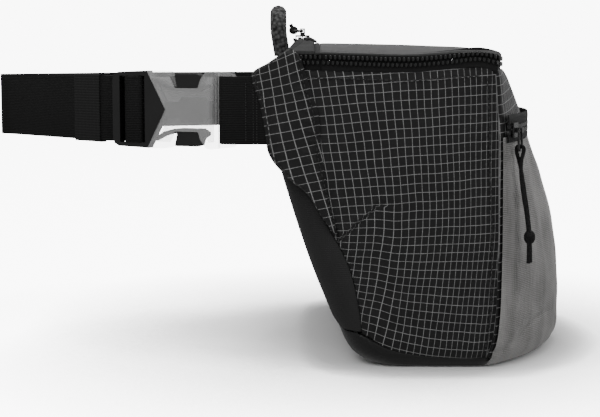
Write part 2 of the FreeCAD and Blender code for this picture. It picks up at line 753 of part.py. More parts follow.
pull_cords("pocket", pocket_place, 52.0, 13.0, 6.5)
pull_cords("main", main_place, 34.0, 8.0, 2.5)

# The security zip's pull is only a knot with one cut end, drawn up to its bail.
rear_knot = doc.addObject("Part::Ellipsoid", "rear_knot_ball")
rear_knot.Radius1, rear_knot.Radius2, rear_knot.Radius3 = 2.4, 2.7, 2.9
rear_knot.Angle1, rear_knot.Angle2, rear_knot.Angle3 = -90, 90, 360
KNOT_SPOT = Vector(rear_line - 5.3, -80.0, rear_height + CROWN_AXIS + 0.4)
rear_knot.Placement = Placement(KNOT_SPOT, Rotation())
stub = doc.addObject("Part::Cylinder", "rear_knot_stub")
stub.setExpression("Radius", "Sizes.cord_width / 2")
stub.Height = 4.0
stub.Placement = Placement(KNOT_SPOT, Rotation(Vector(0, 0, 1), Vector(-0.45, 0, 0.9)))
keep(fuse("rear_knot_whole", [rear_knot, stub]), "rear_knot")

# ---------------------------------------------------------------- carrying loop

loop_x = -99.5
reach = size("loop_reach")
foot = size("loop_foot")
loop_points = [Vector(loop_x, -reach, foot), Vector(loop_x - 2.5, -reach, size("loop_top")),
               Vector(loop_x - 2.5, reach, size("loop_top")), Vector(loop_x, reach, foot)]
loop_wire = rounded_wire(loop_points, 12.0)
keep(tube("carrying_loop", loop_wire, size("loop_width")), "carrying_loop")

doc.recompute()
failed = [o.Name for o in doc.Objects if "Invalid" in o.State or "Error" in o.State]
if failed:
    raise RuntimeError(f"failed objects: {failed}")

os.makedirs("parts", exist_ok=True)
for part in SUB_PARTS:
    if part.Shape.isNull() or not part.Shape.isValid():
        raise RuntimeError(f"{part.Label} has no valid shape")
    part.Shape.exportStep(f"parts/{part.Label}.step")
    bounds = part.Shape.BoundBox
    print(f"{part.Label:24s} solids {len(part.Shape.Solids)} volume {part.Shape.Volume:10.1f}",
          f"x {bounds.XMin:.1f}..{bounds.XMax:.1f} y {bounds.YMin:.1f}..{bounds.YMax:.1f} z {bounds.ZMin:.1f}..{bounds.ZMax:.1f}")
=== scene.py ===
import math

import bmesh
import bpy
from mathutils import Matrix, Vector, noise


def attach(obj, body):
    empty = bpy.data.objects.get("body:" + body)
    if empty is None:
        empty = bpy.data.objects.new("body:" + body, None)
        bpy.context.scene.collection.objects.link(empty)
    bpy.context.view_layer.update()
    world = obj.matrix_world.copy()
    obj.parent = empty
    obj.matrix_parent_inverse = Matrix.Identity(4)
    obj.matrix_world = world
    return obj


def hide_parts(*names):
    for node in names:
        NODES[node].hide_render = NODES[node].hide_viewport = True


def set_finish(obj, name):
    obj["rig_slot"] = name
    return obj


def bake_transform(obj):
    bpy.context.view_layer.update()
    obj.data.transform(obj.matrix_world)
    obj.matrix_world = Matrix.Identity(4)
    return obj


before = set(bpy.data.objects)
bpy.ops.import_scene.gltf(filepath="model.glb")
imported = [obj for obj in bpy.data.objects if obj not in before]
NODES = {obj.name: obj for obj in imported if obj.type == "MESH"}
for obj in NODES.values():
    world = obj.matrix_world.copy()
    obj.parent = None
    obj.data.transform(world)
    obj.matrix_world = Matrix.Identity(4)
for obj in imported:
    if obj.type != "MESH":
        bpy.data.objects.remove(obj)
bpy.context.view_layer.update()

# Waist pack. The routes and outlines below are in millimetres, in the CAD's frame,
# and turn into metres as each mesh is made.
MM = 0.001
scene = bpy.context.scene
collection = scene.collection

NEAR, FAR = -1, 1

# ---------------------------------------------------------------- camera

LENS_MM, SENSOR_MM = 85.0, 36.0
CAMERA_SPOT = (-0.088, -0.919, 0.181)
CAMERA_TILT = 83.8  # degrees up from straight down

camera_data = bpy.data.cameras.new("camera")
camera_data.lens = LENS_MM
camera_data.sensor_width = SENSOR_MM
camera = bpy.data.objects.new("camera", camera_data)
camera.location = CAMERA_SPOT
camera.rotation_euler = (math.radians(CAMERA_TILT), 0.0, 0.0)
collection.objects.link(camera)
scene.camera = camera

# ---------------------------------------------------------------- material helpers


def node(mat, kind, inputs=None, **settings):
    """Add a shader node. An input is a number, a colour or another node's socket."""
    made = mat.node_tree.nodes.new("ShaderNode" + kind)
    for key, value in settings.items():
        setattr(made, key, value)
    for key, value in (inputs or {}).items():
        if isinstance(value, bpy.types.NodeSocket):
            mat.node_tree.links.new(value, made.inputs[key])
        else:
            made.inputs[key].default_value = value
    return made


def calc(mat, operation, first, second=0.0, third=0.0):
    made = node(mat, "Math", {0: first, 1: second, 2: third}, operation=operation)
    return made.outputs[0]


def spread(mat, value, low, high, to_low=0.0, to_high=1.0):
    made = node(mat, "MapRange", {0: value, 1: low, 2: high, 3: to_low, 4: to_high})
    return made.outputs[0]


def tint(mat, factor, first, second):
    """A colour between two, each a colour or a socket."""
    made = node(mat, "Mix", {0: factor, 6: first, 7: second}, data_type="RGBA")
    return made.outputs[2]


def grey(value, warm=0.0):
    return (value * (1 + warm), value, value * (1 - warm), 1.0)


def new_material(name, settings):
    mat = bpy.data.materials.new(name)
    mat.use_nodes = True
    shader = mat.node_tree.nodes["Principled BSDF"]
    for key, value in settings.items():
        shader.inputs[key].default_value = value
    return mat


def connect(mat, colour=None, height=None, depth=0.0002, roughness=None, alpha=None):
    """Link what varies over the surface. depth is the bump's height in metres."""
    shader = mat.node_tree.nodes["Principled BSDF"]
    links = mat.node_tree.links
    if colour is not None:
        links.new(colour, shader.inputs["Base Color"])
    if height is not None:
        bump = node(mat, "Bump", {"Height": height, "Distance": depth, "Strength": 1.0})
        links.new(bump.outputs[0], shader.inputs["Normal"])
    if roughness is not None:
        links.new(roughness, shader.inputs["Roughness"])
    if alpha is not None:
        links.new(alpha, shader.inputs["Alpha"])
    return mat


def here(mat):
    return node(mat, "TexCoord").outputs["Object"]


def speckle(mat, scale, detail=2.0, vector=None):
    made = node(mat, "TexNoise", {"Vector": vector or here(mat), "Scale": scale, "Detail": detail})
    return made.outputs["Fac"]


def stripes(mat, pitch, direction):
    """Waves of a given pitch in metres across X, Y or Z."""
    full_turn = 2 * math.pi / 20
    made = node(mat, "TexWave", {"Vector": here(mat), "Scale": full_turn / pitch},
                bands_direction=direction)
    return made.outputs["Fac"]


def plain_weave(mat, pitch):
    across = stripes(mat, pitch, "X")
    other = stripes(mat, pitch, "Y")
    up = stripes(mat, pitch, "Z")
    return calc(mat, "MULTIPLY", calc(mat, "MAXIMUM", across, other), up)


MOTTLE = 0.25  # how far a cloth's shade drifts either way


def cloth_material(name, shade, pitch, roughness=0.85, sheen=0.03, specular=0.2):
    """A plain woven cloth with a weave, slight mottling and soft creases."""
    mat = new_material(name, {"Roughness": roughness, "Specular IOR Level": specular, "Sheen Weight": sheen,
                              "Sheen Roughness": 0.5})
    weave = plain_weave(mat, pitch)
    creases = speckle(mat, 38.0, 3.0)
    colour = tint(mat, creases, grey(shade * (1 - MOTTLE)), grey(shade * (1 + MOTTLE)))
    woven = tint(mat, weave, colour, grey(shade * (1 + 1.5 * MOTTLE)))
    mixed = tint(mat, 0.35, colour, woven)
    height = calc(mat, "MULTIPLY_ADD", creases, 2.5, weave)
    return connect(mat, mixed, height, 0.00015)


def moulded(name, shade, roughness=0.35, specular=0.5):
    """Moulded plastic with a fine spark texture and faint flow marks."""
    mat = new_material(name, {"Roughness": roughness, "Specular IOR Level": specular})
    fine = speckle(mat, 2400.0)
    broad = speckle(mat, 60.0, 3.0)
    colour = tint(mat, broad, grey(shade * 0.82), grey(shade * 1.2))
    rough = spread(mat, broad, 0.3, 0.7, roughness * 0.85, roughness * 1.2)
    return connect(mat, colour, fine, 0.00004, rough)


# ---------------------------------------------------------------- materials

PITCH_U, PITCH_V = 4.6, 5.3


def ripstop_material():
    """Black taffeta with a pale reinforcing grid, placed by each piece's weave attribute in mm."""
    mat = new_material("ripstop_cloth", {"Roughness": 0.5, "Specular IOR Level": 0.22})
    place = node(mat, "Attribute", attribute_name="weave").outputs["Vector"]
    drift = node(mat, "TexNoise", {"Vector": place, "Scale": 0.035, "Detail": 1.5}).outputs["Color"]
    pushed = node(mat, "VectorMath", {0: drift, 1: (0.5, 0.5, 0.5)}, operation="SUBTRACT").outputs[0]
    scaled = node(mat, "VectorMath", {0: pushed, 1: (1.7, 1.7, 0.0)}, operation="MULTIPLY").outputs[0]
    moved = node(mat, "VectorMath", {0: place, 1: scaled}, operation="ADD").outputs[0]
    parts = node(mat, "SeparateXYZ", {0: moved})
    beads = node(mat, "TexNoise", {"Vector": moved, "Scale": 1.3, "Detail": 1.0}).outputs["Fac"]
    masks = []
    for axis, pitch, width in ((0, PITCH_U, 0.17), (1, PITCH_V, 0.15)):
        distance = calc(mat, "PINGPONG", parts.outputs[axis], pitch / 2)
        masks.append(spread(mat, distance, width * 0.6, width * 1.6, 1.0, 0.0))
    lines = calc(mat, "MAXIMUM", *masks)
    strength = spread(mat, beads, 0.35, 0.65, 0.55, 1.0)
    shown = calc(mat, "MULTIPLY", lines, strength)
    broad = speckle(mat, 55.0, 3.0)
    ground = tint(mat, broad, grey(0.006), grey(0.014))
    colour = tint(mat, shown, ground, grey(0.36))
    fine = plain_weave(mat, 0.0006)
    folds = calc(mat, "MULTIPLY", broad, 6.0)
    height = calc(mat, "ADD", calc(mat, "MULTIPLY_ADD", shown, 1.5, folds), fine)
    rough = spread(mat, broad, 0.3, 0.7, 0.42, 0.62)
    return connect(mat, colour, height, 0.00012, rough)


def webbing_material(name, shade, pitch, relief):
    """Ribs along the belt, with a finer weft crossing them."""
    mat = new_material(name, {"Roughness": 0.7, "Specular IOR Level": 0.15})
    ribs = stripes(mat, pitch, "Z")
    weft = calc(mat, "MULTIPLY", stripes(mat, pitch * 0.8, "X"), 0.15)
    worn = speckle(mat, 90.0, 3.0)
    base = tint(mat, worn, grey(shade * 0.75), grey(shade * 1.25))
    colour = tint(mat, ribs, base, grey(shade * 1.8))
    return connect(mat, colour, calc(mat, "ADD", ribs, weft), relief)


def mesh_material():
    """Sheer knit: a fine net with faint vertical runs, seen through."""
    mat = new_material("sheer_mesh", {"Roughness": 0.7, "Specular IOR Level": 0.25, "Sheen Weight": 0.1})
    net = plain_weave(mat, 0.0011)
    drawn_out = node(mat, "Mapping", {0: here(mat), 3: (90.0, 90.0, 7.0)}).outputs[0]
    runs = speckle(mat, 1.0, 3.0, drawn_out)
    mottle = speckle(mat, 48.0, 5.0)
    blend = calc(mat, "MULTIPLY_ADD", runs, 0.5, calc(mat, "MULTIPLY", mottle, 0.5))
    colour = tint(mat, spread(mat, blend, 0.34, 0.66), grey(0.11, 0.02), grey(0.33, 0.02))
    colour = tint(mat, calc(mat, "MULTIPLY", net, 0.6), colour, grey(0.36, 0.02))
    alpha = spread(mat, net, 0.0, 0.8, 0.8, 0.97)
    return connect(mat, colour, net, 0.0002, alpha=alpha)


def frosted_material():
    """Milky see-through plastic: the plug's tongue and latches show dimly inside it."""
    mat = new_material("frosted_plastic", {
        "Roughness": 0.34, "IOR": 1.46, "Alpha": 0.2, "Specular IOR Level": 0.5})
    cloud = speckle(mat, 70.0, 3.0)
    pale = tint(mat, cloud, grey(0.76), grey(0.92))
    return connect(mat, pale, speckle(mat, 1500.0), 0.00003)


def metal_material(name, shade, roughness, metallic):
    mat = new_material(name, {"Roughness": roughness, "Metallic": metallic})
    wear = speckle(mat, 500.0, 4.0)
    colour = tint(mat, wear, grey(shade * 0.7), grey(shade * 1.5))
    rough = spread(mat, wear, 0.3, 0.7, roughness * 0.7, roughness * 1.3)
    return connect(mat, colour, wear, 0.00003, rough)


def braid_material(name, shade, pitch, light):
    """Slanting yarns round a cord, in two directions."""
    mat = new_material(name, {"Roughness": 0.8, "Specular IOR Level": 0.2})
    weave = node(mat, "TexVoronoi", {"Vector": here(mat), "Scale": 1.0 / pitch}).outputs["Distance"]
    mottle = speckle(mat, 420.0, 2.0)
    base = tint(mat, mottle, grey(shade * 0.6), grey(light))
    colour = tint(mat, spread(mat, weave, 0.2, 0.8), base, grey(shade * 0.4))
    return connect(mat, colour, calc(mat, "SUBTRACT", 1.0, weave), 0.0004)


MATERIALS = {
    "ripstop": ripstop_material(),
    "back_cloth": cloth_material("back_cloth", 0.024, 0.0012, roughness=0.9),
    "base_cloth": cloth_material("base_cloth", 0.007, 0.0009, roughness=0.48, sheen=0.0, specular=0.3),
    "lid_cloth": cloth_material("lid_cloth", 0.11, 0.0008, roughness=0.8),
    "yoke_cloth": cloth_material("yoke_cloth", 0.04, 0.0008, roughness=0.8),
    "mesh": mesh_material(),
    "lining_cloth": cloth_material("lining_taffeta", 0.16, 0.0007, roughness=0.55),
    "foam": cloth_material("closed_cell_foam", 0.4, 0.0018, roughness=0.95, sheen=0.0),
    "stiffener": moulded("stiffener_sheet", 0.1, roughness=0.6),
    "webbing": webbing_material("ribbed_webbing", 0.0055, 0.0010, 0.00022),
    "elastic": webbing_material("ribbed_elastic", 0.010, 0.0016, 0.00008),
    "zip_tape": cloth_material("zip_tape_cloth", 0.01, 0.0007, roughness=0.8),
    "zip_teeth": moulded("moulded_teeth", 0.008, roughness=0.16),
    "slider_metal": metal_material("enamelled_metal", 0.008, 0.22, 0.0),
    "bail_metal": metal_material("blackened_wire", 0.02, 0.28, 0.3),
    "cord": braid_material("braided_cord", 0.009, 0.0009, 0.02),
    "loop_knit": braid_material("knitted_loop", 0.03, 0.0020, 0.2),
    "clear_plastic": frosted_material(),
    "black_plastic": moulded("black_plastic_satin", 0.009, roughness=0.33, specular=0.4),
}
THREAD = cloth_material("seam_thread", 0.035, 0.0004, roughness=0.7)

# ---------------------------------------------------------------- cords

CROWN_AXIS = 4.7  # the bail's axis over the chain's mid plane
BAIL_FOOT = -11.6
SIDE = 1.25
CORD_WIDTH = 2.2


def pull_route(strand, drop, tails, lean):
    """Route of one strand in its slider's frame: x along the chain, y outwards, z up."""
    hang = drop - 5.5
    foot = BAIL_FOOT
    return [
        (0.0, CROWN_AXIS, foot + 2.3),
        (0.0, CROWN_AXIS + strand * 1.2, foot + 2.3),
        (0.0, CROWN_AXIS + strand * 2.2, foot + 1.4),
        (strand * 0.3, CROWN_AXIS + strand * 2.2, foot - 1.2),
        (strand * 1.0, CROWN_AXIS + strand * 0.9, foot - 5.5),
        (strand * SIDE, CROWN_AXIS + lean * 0.15, foot - 5.5 - hang * 0.18),
        (strand * (SIDE + 0.6), CROWN_AXIS + lean * 0.42, foot - 5.5 - hang * 0.43),
        (strand * (SIDE + 0.1), CROWN_AXIS + lean * 0.78, foot - 5.5 - hang * 0.71),
        (strand * SIDE, CROWN_AXIS + lean, foot - drop),
        (strand * (SIDE + 1.2), CROWN_AXIS + lean, foot - drop - tails),
    ]


def placer(spot, angle):
    """From a slider's frame into the pack's: a turn about Z, then a move."""
    c, s = math.cos(math.radians(angle)), math.sin(math.radians(angle))
    return lambda p: (spot[0] + p[0] * c - p[1] * s, spot[1] + p[0] * s + p[1] * c, spot[2] + p[2])


POCKET_ANGLE = -23.0
POCKET_BOW_X = -212.343
POCKET_CHAIN_RADIUS = 267.743
pocket_spot = (POCKET_BOW_X + POCKET_CHAIN_RADIUS * math.cos(math.radians(POCKET_ANGLE)),
               POCKET_CHAIN_RADIUS * math.sin(math.radians(POCKET_ANGLE)), 138.0)
PULLS = {
    "pocket": (placer(pocket_spot, POCKET_ANGLE - 90.0), 52.0, 13.0, 6.5, 0.0695),
    "main": (placer((-71.7, 113.2, 177.7), 0.0), 34.0, 8.0, 2.5, 0.0463),
}


def metres(point):
    return tuple(c * MM for c in point)


def cord_curve(name, points):
    """A round cord on one smooth spline with the route's points as its controls."""
    data = bpy.data.curves.new(name, "CURVE")
    data.dimensions = "3D"
    spline = data.splines.new("NURBS")
    spline.points.add(len(points) - 1)
    for control, point in zip(spline.points, points):
        control.co = (*metres(point), 1.0)
    spline.order_u = 3
    spline.use_endpoint_u = True
    data.resolution_u = 8
    data.bevel_depth = CORD_WIDTH / 2 * MM
    data.bevel_resolution = 4
    data.use_fill_caps = True
    obj = bpy.data.objects.new(name, data)
    collection.objects.link(obj)
    data.materials.append(MATERIALS["cord"])
    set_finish(obj, "cord")
    return obj


for pull, (place, drop, tails, lean, length) in PULLS.items():
    for strand_name, strand in (("front", 1), ("back", -1)):
        route = [place(p) for p in pull_route(strand, drop, tails, lean)]
        strand_obj = cord_curve(f"{pull}_pull_{strand_name}_strand", route)
        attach(strand_obj, f"{pull}_zip_pull")
        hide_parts(f"{pull}_cord_{strand_name}")
        metres(route[0])

# ---------------------------------------------------------------- mesh helpers


def add_mesh(name, points, faces, slot_name, weave=None, smooth=True, material=None):
    """A mesh from points in mm. weave is each point's place in its cloth, in mm."""
    data = bpy.data.meshes.new(name)
    data.from_pydata([metres(p) for p in points], [], faces)
    if weave:
        layer = data.attributes.new("weave", "FLOAT_VECTOR", "POINT")
        layer.data.foreach_set("vector", [c for place in weave for c in (*place, 0.0)])
    data.polygons.foreach_set("use_smooth", [smooth] * len(data.polygons))
    data.materials.append(material or MATERIALS[slot_name])
    data.update()
    obj = bpy.data.objects.new(name, data)
    collection.objects.link(obj)
    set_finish(obj, slot_name)
    return obj


def grid_faces(rows, columns, closed=False):
    faces = []
    for r in range(rows - 1):
        for c in range(columns if closed else columns - 1):
            a, b = r * columns + c, r * columns + (c + 1) % columns
            faces.append((a, b, b + columns, a + columns))
    return faces


def turn_outwards(obj, centre):
    """Flip the faces if most of them look towards the centre."""
    total = 0.0
    middle = Vector(metres(centre))
    for face in obj.data.polygons:
        total += face.area * face.normal.dot((face.center - middle).normalized())
    if total < 0:
        obj.data.flip_normals()


def neighbours(line, k):
    """The points before and after one on a line. An end stands in for the one it lacks."""
    return line[max(k - 1, 0)], line[min(k + 1, len(line) - 1)]


def placed_along(lengths, first, last, pitch):
    """Evenly spaced places on a path: each one's segment, and how far along it."""
    place = first
    while place < last:
        k = max(i for i in range(len(lengths) - 1) if place >= lengths[i])
        yield k, (place - lengths[k]) / (lengths[k + 1] - lengths[k])
        place += pitch


def ring_faces(base, rings, sides):
    """Faces of a closed solid of rings whose points start at base."""
    faces = [tuple(base + c for c in face) for face in grid_faces(rings, sides, closed=True)]
    top = base + (rings - 1) * sides
    return faces + [tuple(base + c for c in range(sides))[::-1], tuple(top + c for c in range(sides))]


def stitch_run(name, path, outward, body, pitch=3.2, long=2.1, wide=0.42, lift=0.75):
    """Thread laid in stitches along a path, each a small closed spindle."""
    points, faces = [], []
    lengths = walk(path)
    for k, share in placed_along(lengths, pitch, lengths[-1] - pitch, pitch):
        run = (Vector(path[k + 1]) - Vector(path[k])).normalized()
        centre = Vector(path[k]).lerp(Vector(path[k + 1]), share) + Vector(outward) * lift
        across = run.cross(Vector(outward)).normalized()
        base = len(points)
        for reach, scale in ((-0.5, 0.4), (-0.3, 1.0), (0.3, 1.0), (0.5, 0.4)):
            for a in range(6):
                turned = math.pi * a / 3
                spot = centre + run * reach * long
                spot += (across * math.cos(turned) + Vector(outward) * math.sin(turned)) * wide * scale
                points.append(tuple(spot))
        faces += ring_faces(base, 4, 6)
    obj = tidy_normals(add_mesh(name, points, faces, "webbing", material=THREAD))
    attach(obj, body)
    return obj


def panel(name, rows, slot_name, thick, weave=None, centre=(-30, 0, 90), material=None):
    """A sewn cloth panel from rows of points, given a thickness towards its inside."""
    points = [p for row in rows for p in row]
    places = [w for row in weave for w in row] if weave else None
    obj = add_mesh(name, points, grid_faces(len(rows), len(rows[0])), slot_name, places, material=material)
    turn_outwards(obj, centre)
    depth = obj.modifiers.new("thickness", "SOLIDIFY")
    depth.thickness = thick * MM
    depth.offset = -1.0
    rounding = obj.modifiers.new("rounding", "SUBSURF")
    rounding.levels = 1
    rounding.render_levels = 1
    return obj


def ring_solid(name, rings, slot_name, material=None, closed=False):
    """A solid swept through rings of points, capped at both ends or closed on itself."""
    count = len(rings[0])
    faces = grid_faces(len(rings), count, closed=True)
    if closed:
        last = (len(rings) - 1) * count
        faces += [(last + c, last + (c + 1) % count, (c + 1) % count, c) for c in range(count)]
    else:
        faces.append(tuple(range(count))[::-1])
        faces.append(tuple(range((len(rings) - 1) * count, len(rings) * count)))
    points = [p for ring in rings for p in ring]
    return tidy_normals(add_mesh(name, points, faces, slot_name, material=material))


def tidy_normals(obj):
    """Make a closed mesh's faces look outwards."""
    work = bmesh.new()
    work.from_mesh(obj.data)
    bmesh.ops.recalc_face_normals(work, faces=work.faces)
    work.to_mesh(obj.data)
    work.free()
    return obj


def hermite(t, a, b, slope_a, slope_b):
    """A cubic from a to b, with its slopes over the whole step."""
    return ((2 * t**3 - 3 * t**2 + 1) * a + (t**3 - 2 * t**2 + t) * slope_a
            + (3 * t**2 - 2 * t**3) * b + (t**3 - t**2) * slope_b)


def smooth_table(table, at):
    """Smooth values between a table's rows, whose first column is the place."""
    last = len(table) - 1
    at = min(max(at, table[0][0]), table[last][0])
    k = max(i for i in range(last) if at >= table[i][0])
    span = table[k + 1][0] - table[k][0]
    t = (at - table[k][0]) / span

    def slope(i, column):
        low, high = max(i - 1, 0), min(i + 1, last)
        return (table[high][column] - table[low][column]) / (table[high][0] - table[low][0])

    values = []
    for column in range(1, len(table[0])):
        a, b = table[k][column], table[k + 1][column]
        ma, mb = slope(k, column) * span, slope(k + 1, column) * span
        values.append(hermite(t, a, b, ma, mb))
    return values


def ease(value, low, high):
    t = min(max((value - low) / (high - low), 0.0), 1.0)
    return t * t * (3 - 2 * t)


def mix(a, b, t):
    return a + (b - a) * t


def ripple(x, z, seed, size=1.0):
    """Soft unevenness of hanging cloth, about -1 to 1."""
    return (noise.noise(Vector((x / (26 * size), z / (34 * size), seed)))
            + 0.5 * noise.noise(Vector((x / (11 * size), z / (13 * size), seed + 5.0))))


# ---------------------------------------------------------------- bag shell

HALF_WIDTH = 115.0
REAR_CORNER = 20.0
BACK_BOW = 3.0
FRONT_CORNER = 1.5
# height, back's middle, front corner's seam, front's middle, how much narrower
LEVELS = [(0, -51, 20, 42, 8), (8, -61, 24, 48, 3), (25, -69, 27, 50, 1), (60, -83, 28, 51, 0),
          (110, -99, 28, 52, 0), (138, -106, 27.5, 53, 0), (156, -106.5, 26.5, 46.5, 0.5),
          (176, -106.5, 25, 37, 1)]
REAR_SEAM = [(-5, -48), (18, -52), (35, -54), (60, -60), (88, -75), (102, -84), (112, -94), (190, -98)]
FRONT_SEAM = [(-5, 16), (8, 21), (22, 24.6), (60, 26), (110, 26), (138, 25.5), (190, 22)]
BASE_SEAM = [(-150, 24), (-53, 20), (-35, 10.5), (-9, 6), (25, 5), (150, 5)]
SIDE_TOP = [(-107, 173.2), (-76, 172.2), (-26, 171.2), (-3, 173.0), (23, 174.2), (30, 174.2)]
# how far the chain stands above or below its mean line, along the near side
CHAIN_WAVE = [(-95, 0.3), (-78, 0.3), (-50, -0.6), (-26, -1.1), (-3, 0.6), (8, 2.0), (14, 2.2), (19, 1.4),
              (23, 0.4), (26, 0.0)]


def half_outline(z, out=0.0):
    """The near half of the shell's plan at a height, from the back's middle to the front's."""
    back, seam, front, narrower = smooth_table(LEVELS, z)
    half = HALF_WIDTH - narrower + out
    back, seam, front = back - out, seam + out / 2, front + out
    rear_x, rear_y, front_y = back + BACK_BOW, half - REAR_CORNER, half - FRONT_CORNER
    points = []
    for i in range(17):
        share = i / 16
        points.append((back + BACK_BOW * share**2, -rear_y * share))
    for i in range(1, 13):
        a = math.pi / 2 * i / 12
        points.append((rear_x + REAR_CORNER * (1 - math.cos(a)), -rear_y - REAR_CORNER * math.sin(a)))
    for i in range(5):
        a = math.pi / 2 * i / 4
        points.append((seam - FRONT_CORNER * (1 - math.sin(a)), -front_y - FRONT_CORNER * math.cos(a)))
    rise = front - seam
    radius = (front_y**2 + rise**2) / (2 * rise)
    for i in range(1, 33):
        y = front_y * (1 - i / 32)
        points.append((front - radius + math.sqrt(radius**2 - y**2), -y))
    return points


def walk(points):
    lengths = [0.0]
    for a, b in zip(points, points[1:]):
        lengths.append(lengths[-1] + math.dist(a, b))
    return lengths


def length_at(points, lengths, x):
    """How far along the half outline it reaches x."""
    for i in range(len(points) - 1):
        if points[i + 1][0] >= x:
            step = points[i + 1][0] - points[i][0]
            share = max(x - points[i][0], 0.0) / step if step > 1e-9 else 0.0
            return mix(lengths[i], lengths[i + 1], share)
    return lengths[-1]


def point_at(points, lengths, distance):
    """The point and outward direction at a distance along the half outline."""
    i = max(k for k in range(len(points) - 1) if distance >= lengths[k] - 1e-9)
    share = (distance - lengths[i]) / max(lengths[i + 1] - lengths[i], 1e-9)
    (ax, ay), (bx, by) = points[i], points[i + 1]
    run = max(math.dist((ax, ay), (bx, by)), 1e-9)
    return mix(ax, bx, share), mix(ay, by, share), (by - ay) / run, -(bx - ax) / run


def shell_row(z, start, stop, count, out=0.0):
    """Evenly spaced (x, y, outward x, outward y) from one x to another. None is an end."""
    points = half_outline(z, out)
    lengths = walk(points)
    low = 0.0 if start is None else length_at(points, lengths, start)
    high = lengths[-1] if stop is None else length_at(points, lengths, stop)
    return [point_at(points, lengths, mix(low, high, i / (count - 1))) for i in range(count)]


def side_depth(x, z):
    """Half width of the shell on its side at (x, z), rounded into the back."""
    back, _, _, narrower = smooth_table(LEVELS, z)
    half = HALF_WIDTH - narrower
    past = min(max(back + BACK_BOW + REAR_CORNER - x, 0.0), REAR_CORNER * 0.995)
    return half - REAR_CORNER + math.sqrt(REAR_CORNER**2 - past**2)


# The tuck across each side, from the wing's foot up and forwards.
TUCK = [(-67.2, 74.1), (-61.5, 78.9), (-55.9, 84.6), (-46.4, 93.2), (-41.3, 98.1), (-31.0, 99.8)]
TUCK_LENGTH = TUCK[-1][0] - TUCK[0][0]


def tuck_side(x, z):
    """How far (x, z) lies above the tuck line, and how strong the tuck is there."""
    line = smooth_table(TUCK, x)[0]
    strength = 1.0 - ease(x, TUCK[0][0] + 0.55 * TUCK_LENGTH, TUCK[-1][0])
    if x < TUCK[0][0] - 3:
        strength = 0.0
    return z - line, strength


def side_weave(x, z):
    """Where the side cloth's grid lies. Its upright threads crowd together where the
    cloth turns into the front seam, and fan out below, so that they lean."""
    above, strength = tuck_side(x, z)
    low = 1.0 - ease(z, 15.0, 100.0)
    rise_top = 0.075 * (x - 22.0)
    rise_low = 0.0021 * (22.0 - x) ** 2
    v = z - mix(rise_top, rise_low, low)
    along = x + 70.0
    u = 0.98 * along + 0.75 * max(along, 0.0) ** 3 / (3 * 94.0**2)
    drop = max(0.0, 85.0 - z)
    u += 0.16 * drop**2 / (drop + 15.0)
    lean = 0.16 * min(max((20.0 - x) / 84.0, 0.0), 1.0) * (z - 95.0)
    if z >= 95.0:
        return u + lean, v
    if above >= 0:
        return u + lean * strength, v
    return u + 3.2 * strength, v - 1.8 * strength


def side_panel(side, name, cad_node):
    """Ripstop side: pulled in at its seams, fuller between them, with a tuck."""
    columns, count = 84, 104
    rows, weave = [], []
    for j in range(count):
        row, places = [], []
        for i in range(columns):
            u, v = i / (columns - 1), j / (count - 1)
            z = mix(8.0, 172.0, v)
            for _ in range(3):
                x = mix(smooth_table(REAR_SEAM, z)[0], smooth_table(FRONT_SEAM, z)[0], u)
                z = mix(smooth_table(BASE_SEAM, x)[0], smooth_table(SIDE_TOP, x)[0], v)
            edge = min(ease(u, 0.0, 0.06), ease(1 - u, 0.0, 0.05), ease(v, 0.0, 0.05), ease(1 - v, 0.0, 0.03))
            under_wing = 1.0 - (1.0 - ease(x, -80.0, -62.0)) * ease(z, 70.0, 84.0)
            fullness = 1.0 * edge + 0.75 * edge * ripple(x, z, 3.0 + side)
            swell = (fullness * mix(0.25, 1.0, under_wing)) - 0.5 * (1 - edge)
            above, strength = tuck_side(x, z)
            if -7.0 < above < 7.0:
                crest, gully = math.exp(-(above / 2.0) ** 2), -0.5 * math.exp(-((above + 1.2) / 1.6) ** 2)
                fold = crest if above >= 0 else gully
                swell += 1.3 * strength * fold * under_wing
            low = 1.0 - ease(z, 10.0, 70.0)
            swell += 0.55 * low * edge * math.sin(0.55 * x + 0.21 * z + 3.0 * ripple(x, z, 9.0))
            depth = side_depth(x, z) + swell - 1.3 * ease(u, 0.84, 1.0) ** 2
            row.append((x, side * depth, z))
            places.append(side_weave(x, z))
        rows.append(row)
        weave.append(places)
    obj = panel(name, rows, "ripstop", 1.3, weave)
    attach(obj, "bag")
    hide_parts(cad_node)
    front_seam = [row[columns - 5] for row in rows[2:-2]]
    stitch_run(name + "_front_stitches", front_seam, (0.0, side, 0.0), "bag")
    stitch_run(name + "_top_stitches", rows[count - 4][3:-4], (0.0, side, 0.0), "bag")
    return obj


side_panel(NEAR, "side_cloth_near", "side_panel_near")
side_panel(FAR, "side_cloth_far", "side_panel_far")


def whole_row(half_row):
    """Near half row, then its mirror image, as one row across the pack."""
    return half_row + [(x, -y, nx, -ny) for x, y, nx, ny in half_row[-2::-1]]


def wrap_panel(name, cad_node, slot_name, heights, limits, swell, weave_at=None, thick=1.4, columns=46):
    """A cloth that wraps the back or the front, from one side's seam to the other's."""
    rows, weave = [], []
    for j, z in enumerate(heights):
        start, stop = limits(z)
        half_row = shell_row(z, start, stop, columns)
        if start is None:
            half_row = half_row[::-1]
        row, places = [], []
        across = 0.0
        full = whole_row(half_row)
        for i, (x, y, nx, ny) in enumerate(full):
            if i:
                across += math.dist((x, y), full[i - 1][:2])
            push = swell(i / (len(full) - 1), j / (len(heights) - 1), across, z)
            row.append((x + nx * push, y + ny * push, z))
            places.append((across, z))
        centre = across / 2
        places = [weave_at(u - centre, v) if weave_at else (u - centre, v) for u, v in places]
        rows.append(row)
        weave.append(places)
    obj = panel(name, rows, slot_name, thick, weave)
    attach(obj, "bag")
    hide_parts(cad_node)
    return obj


def heights_between(low, high, count):
    return [mix(low, high, i / (count - 1)) for i in range(count)]


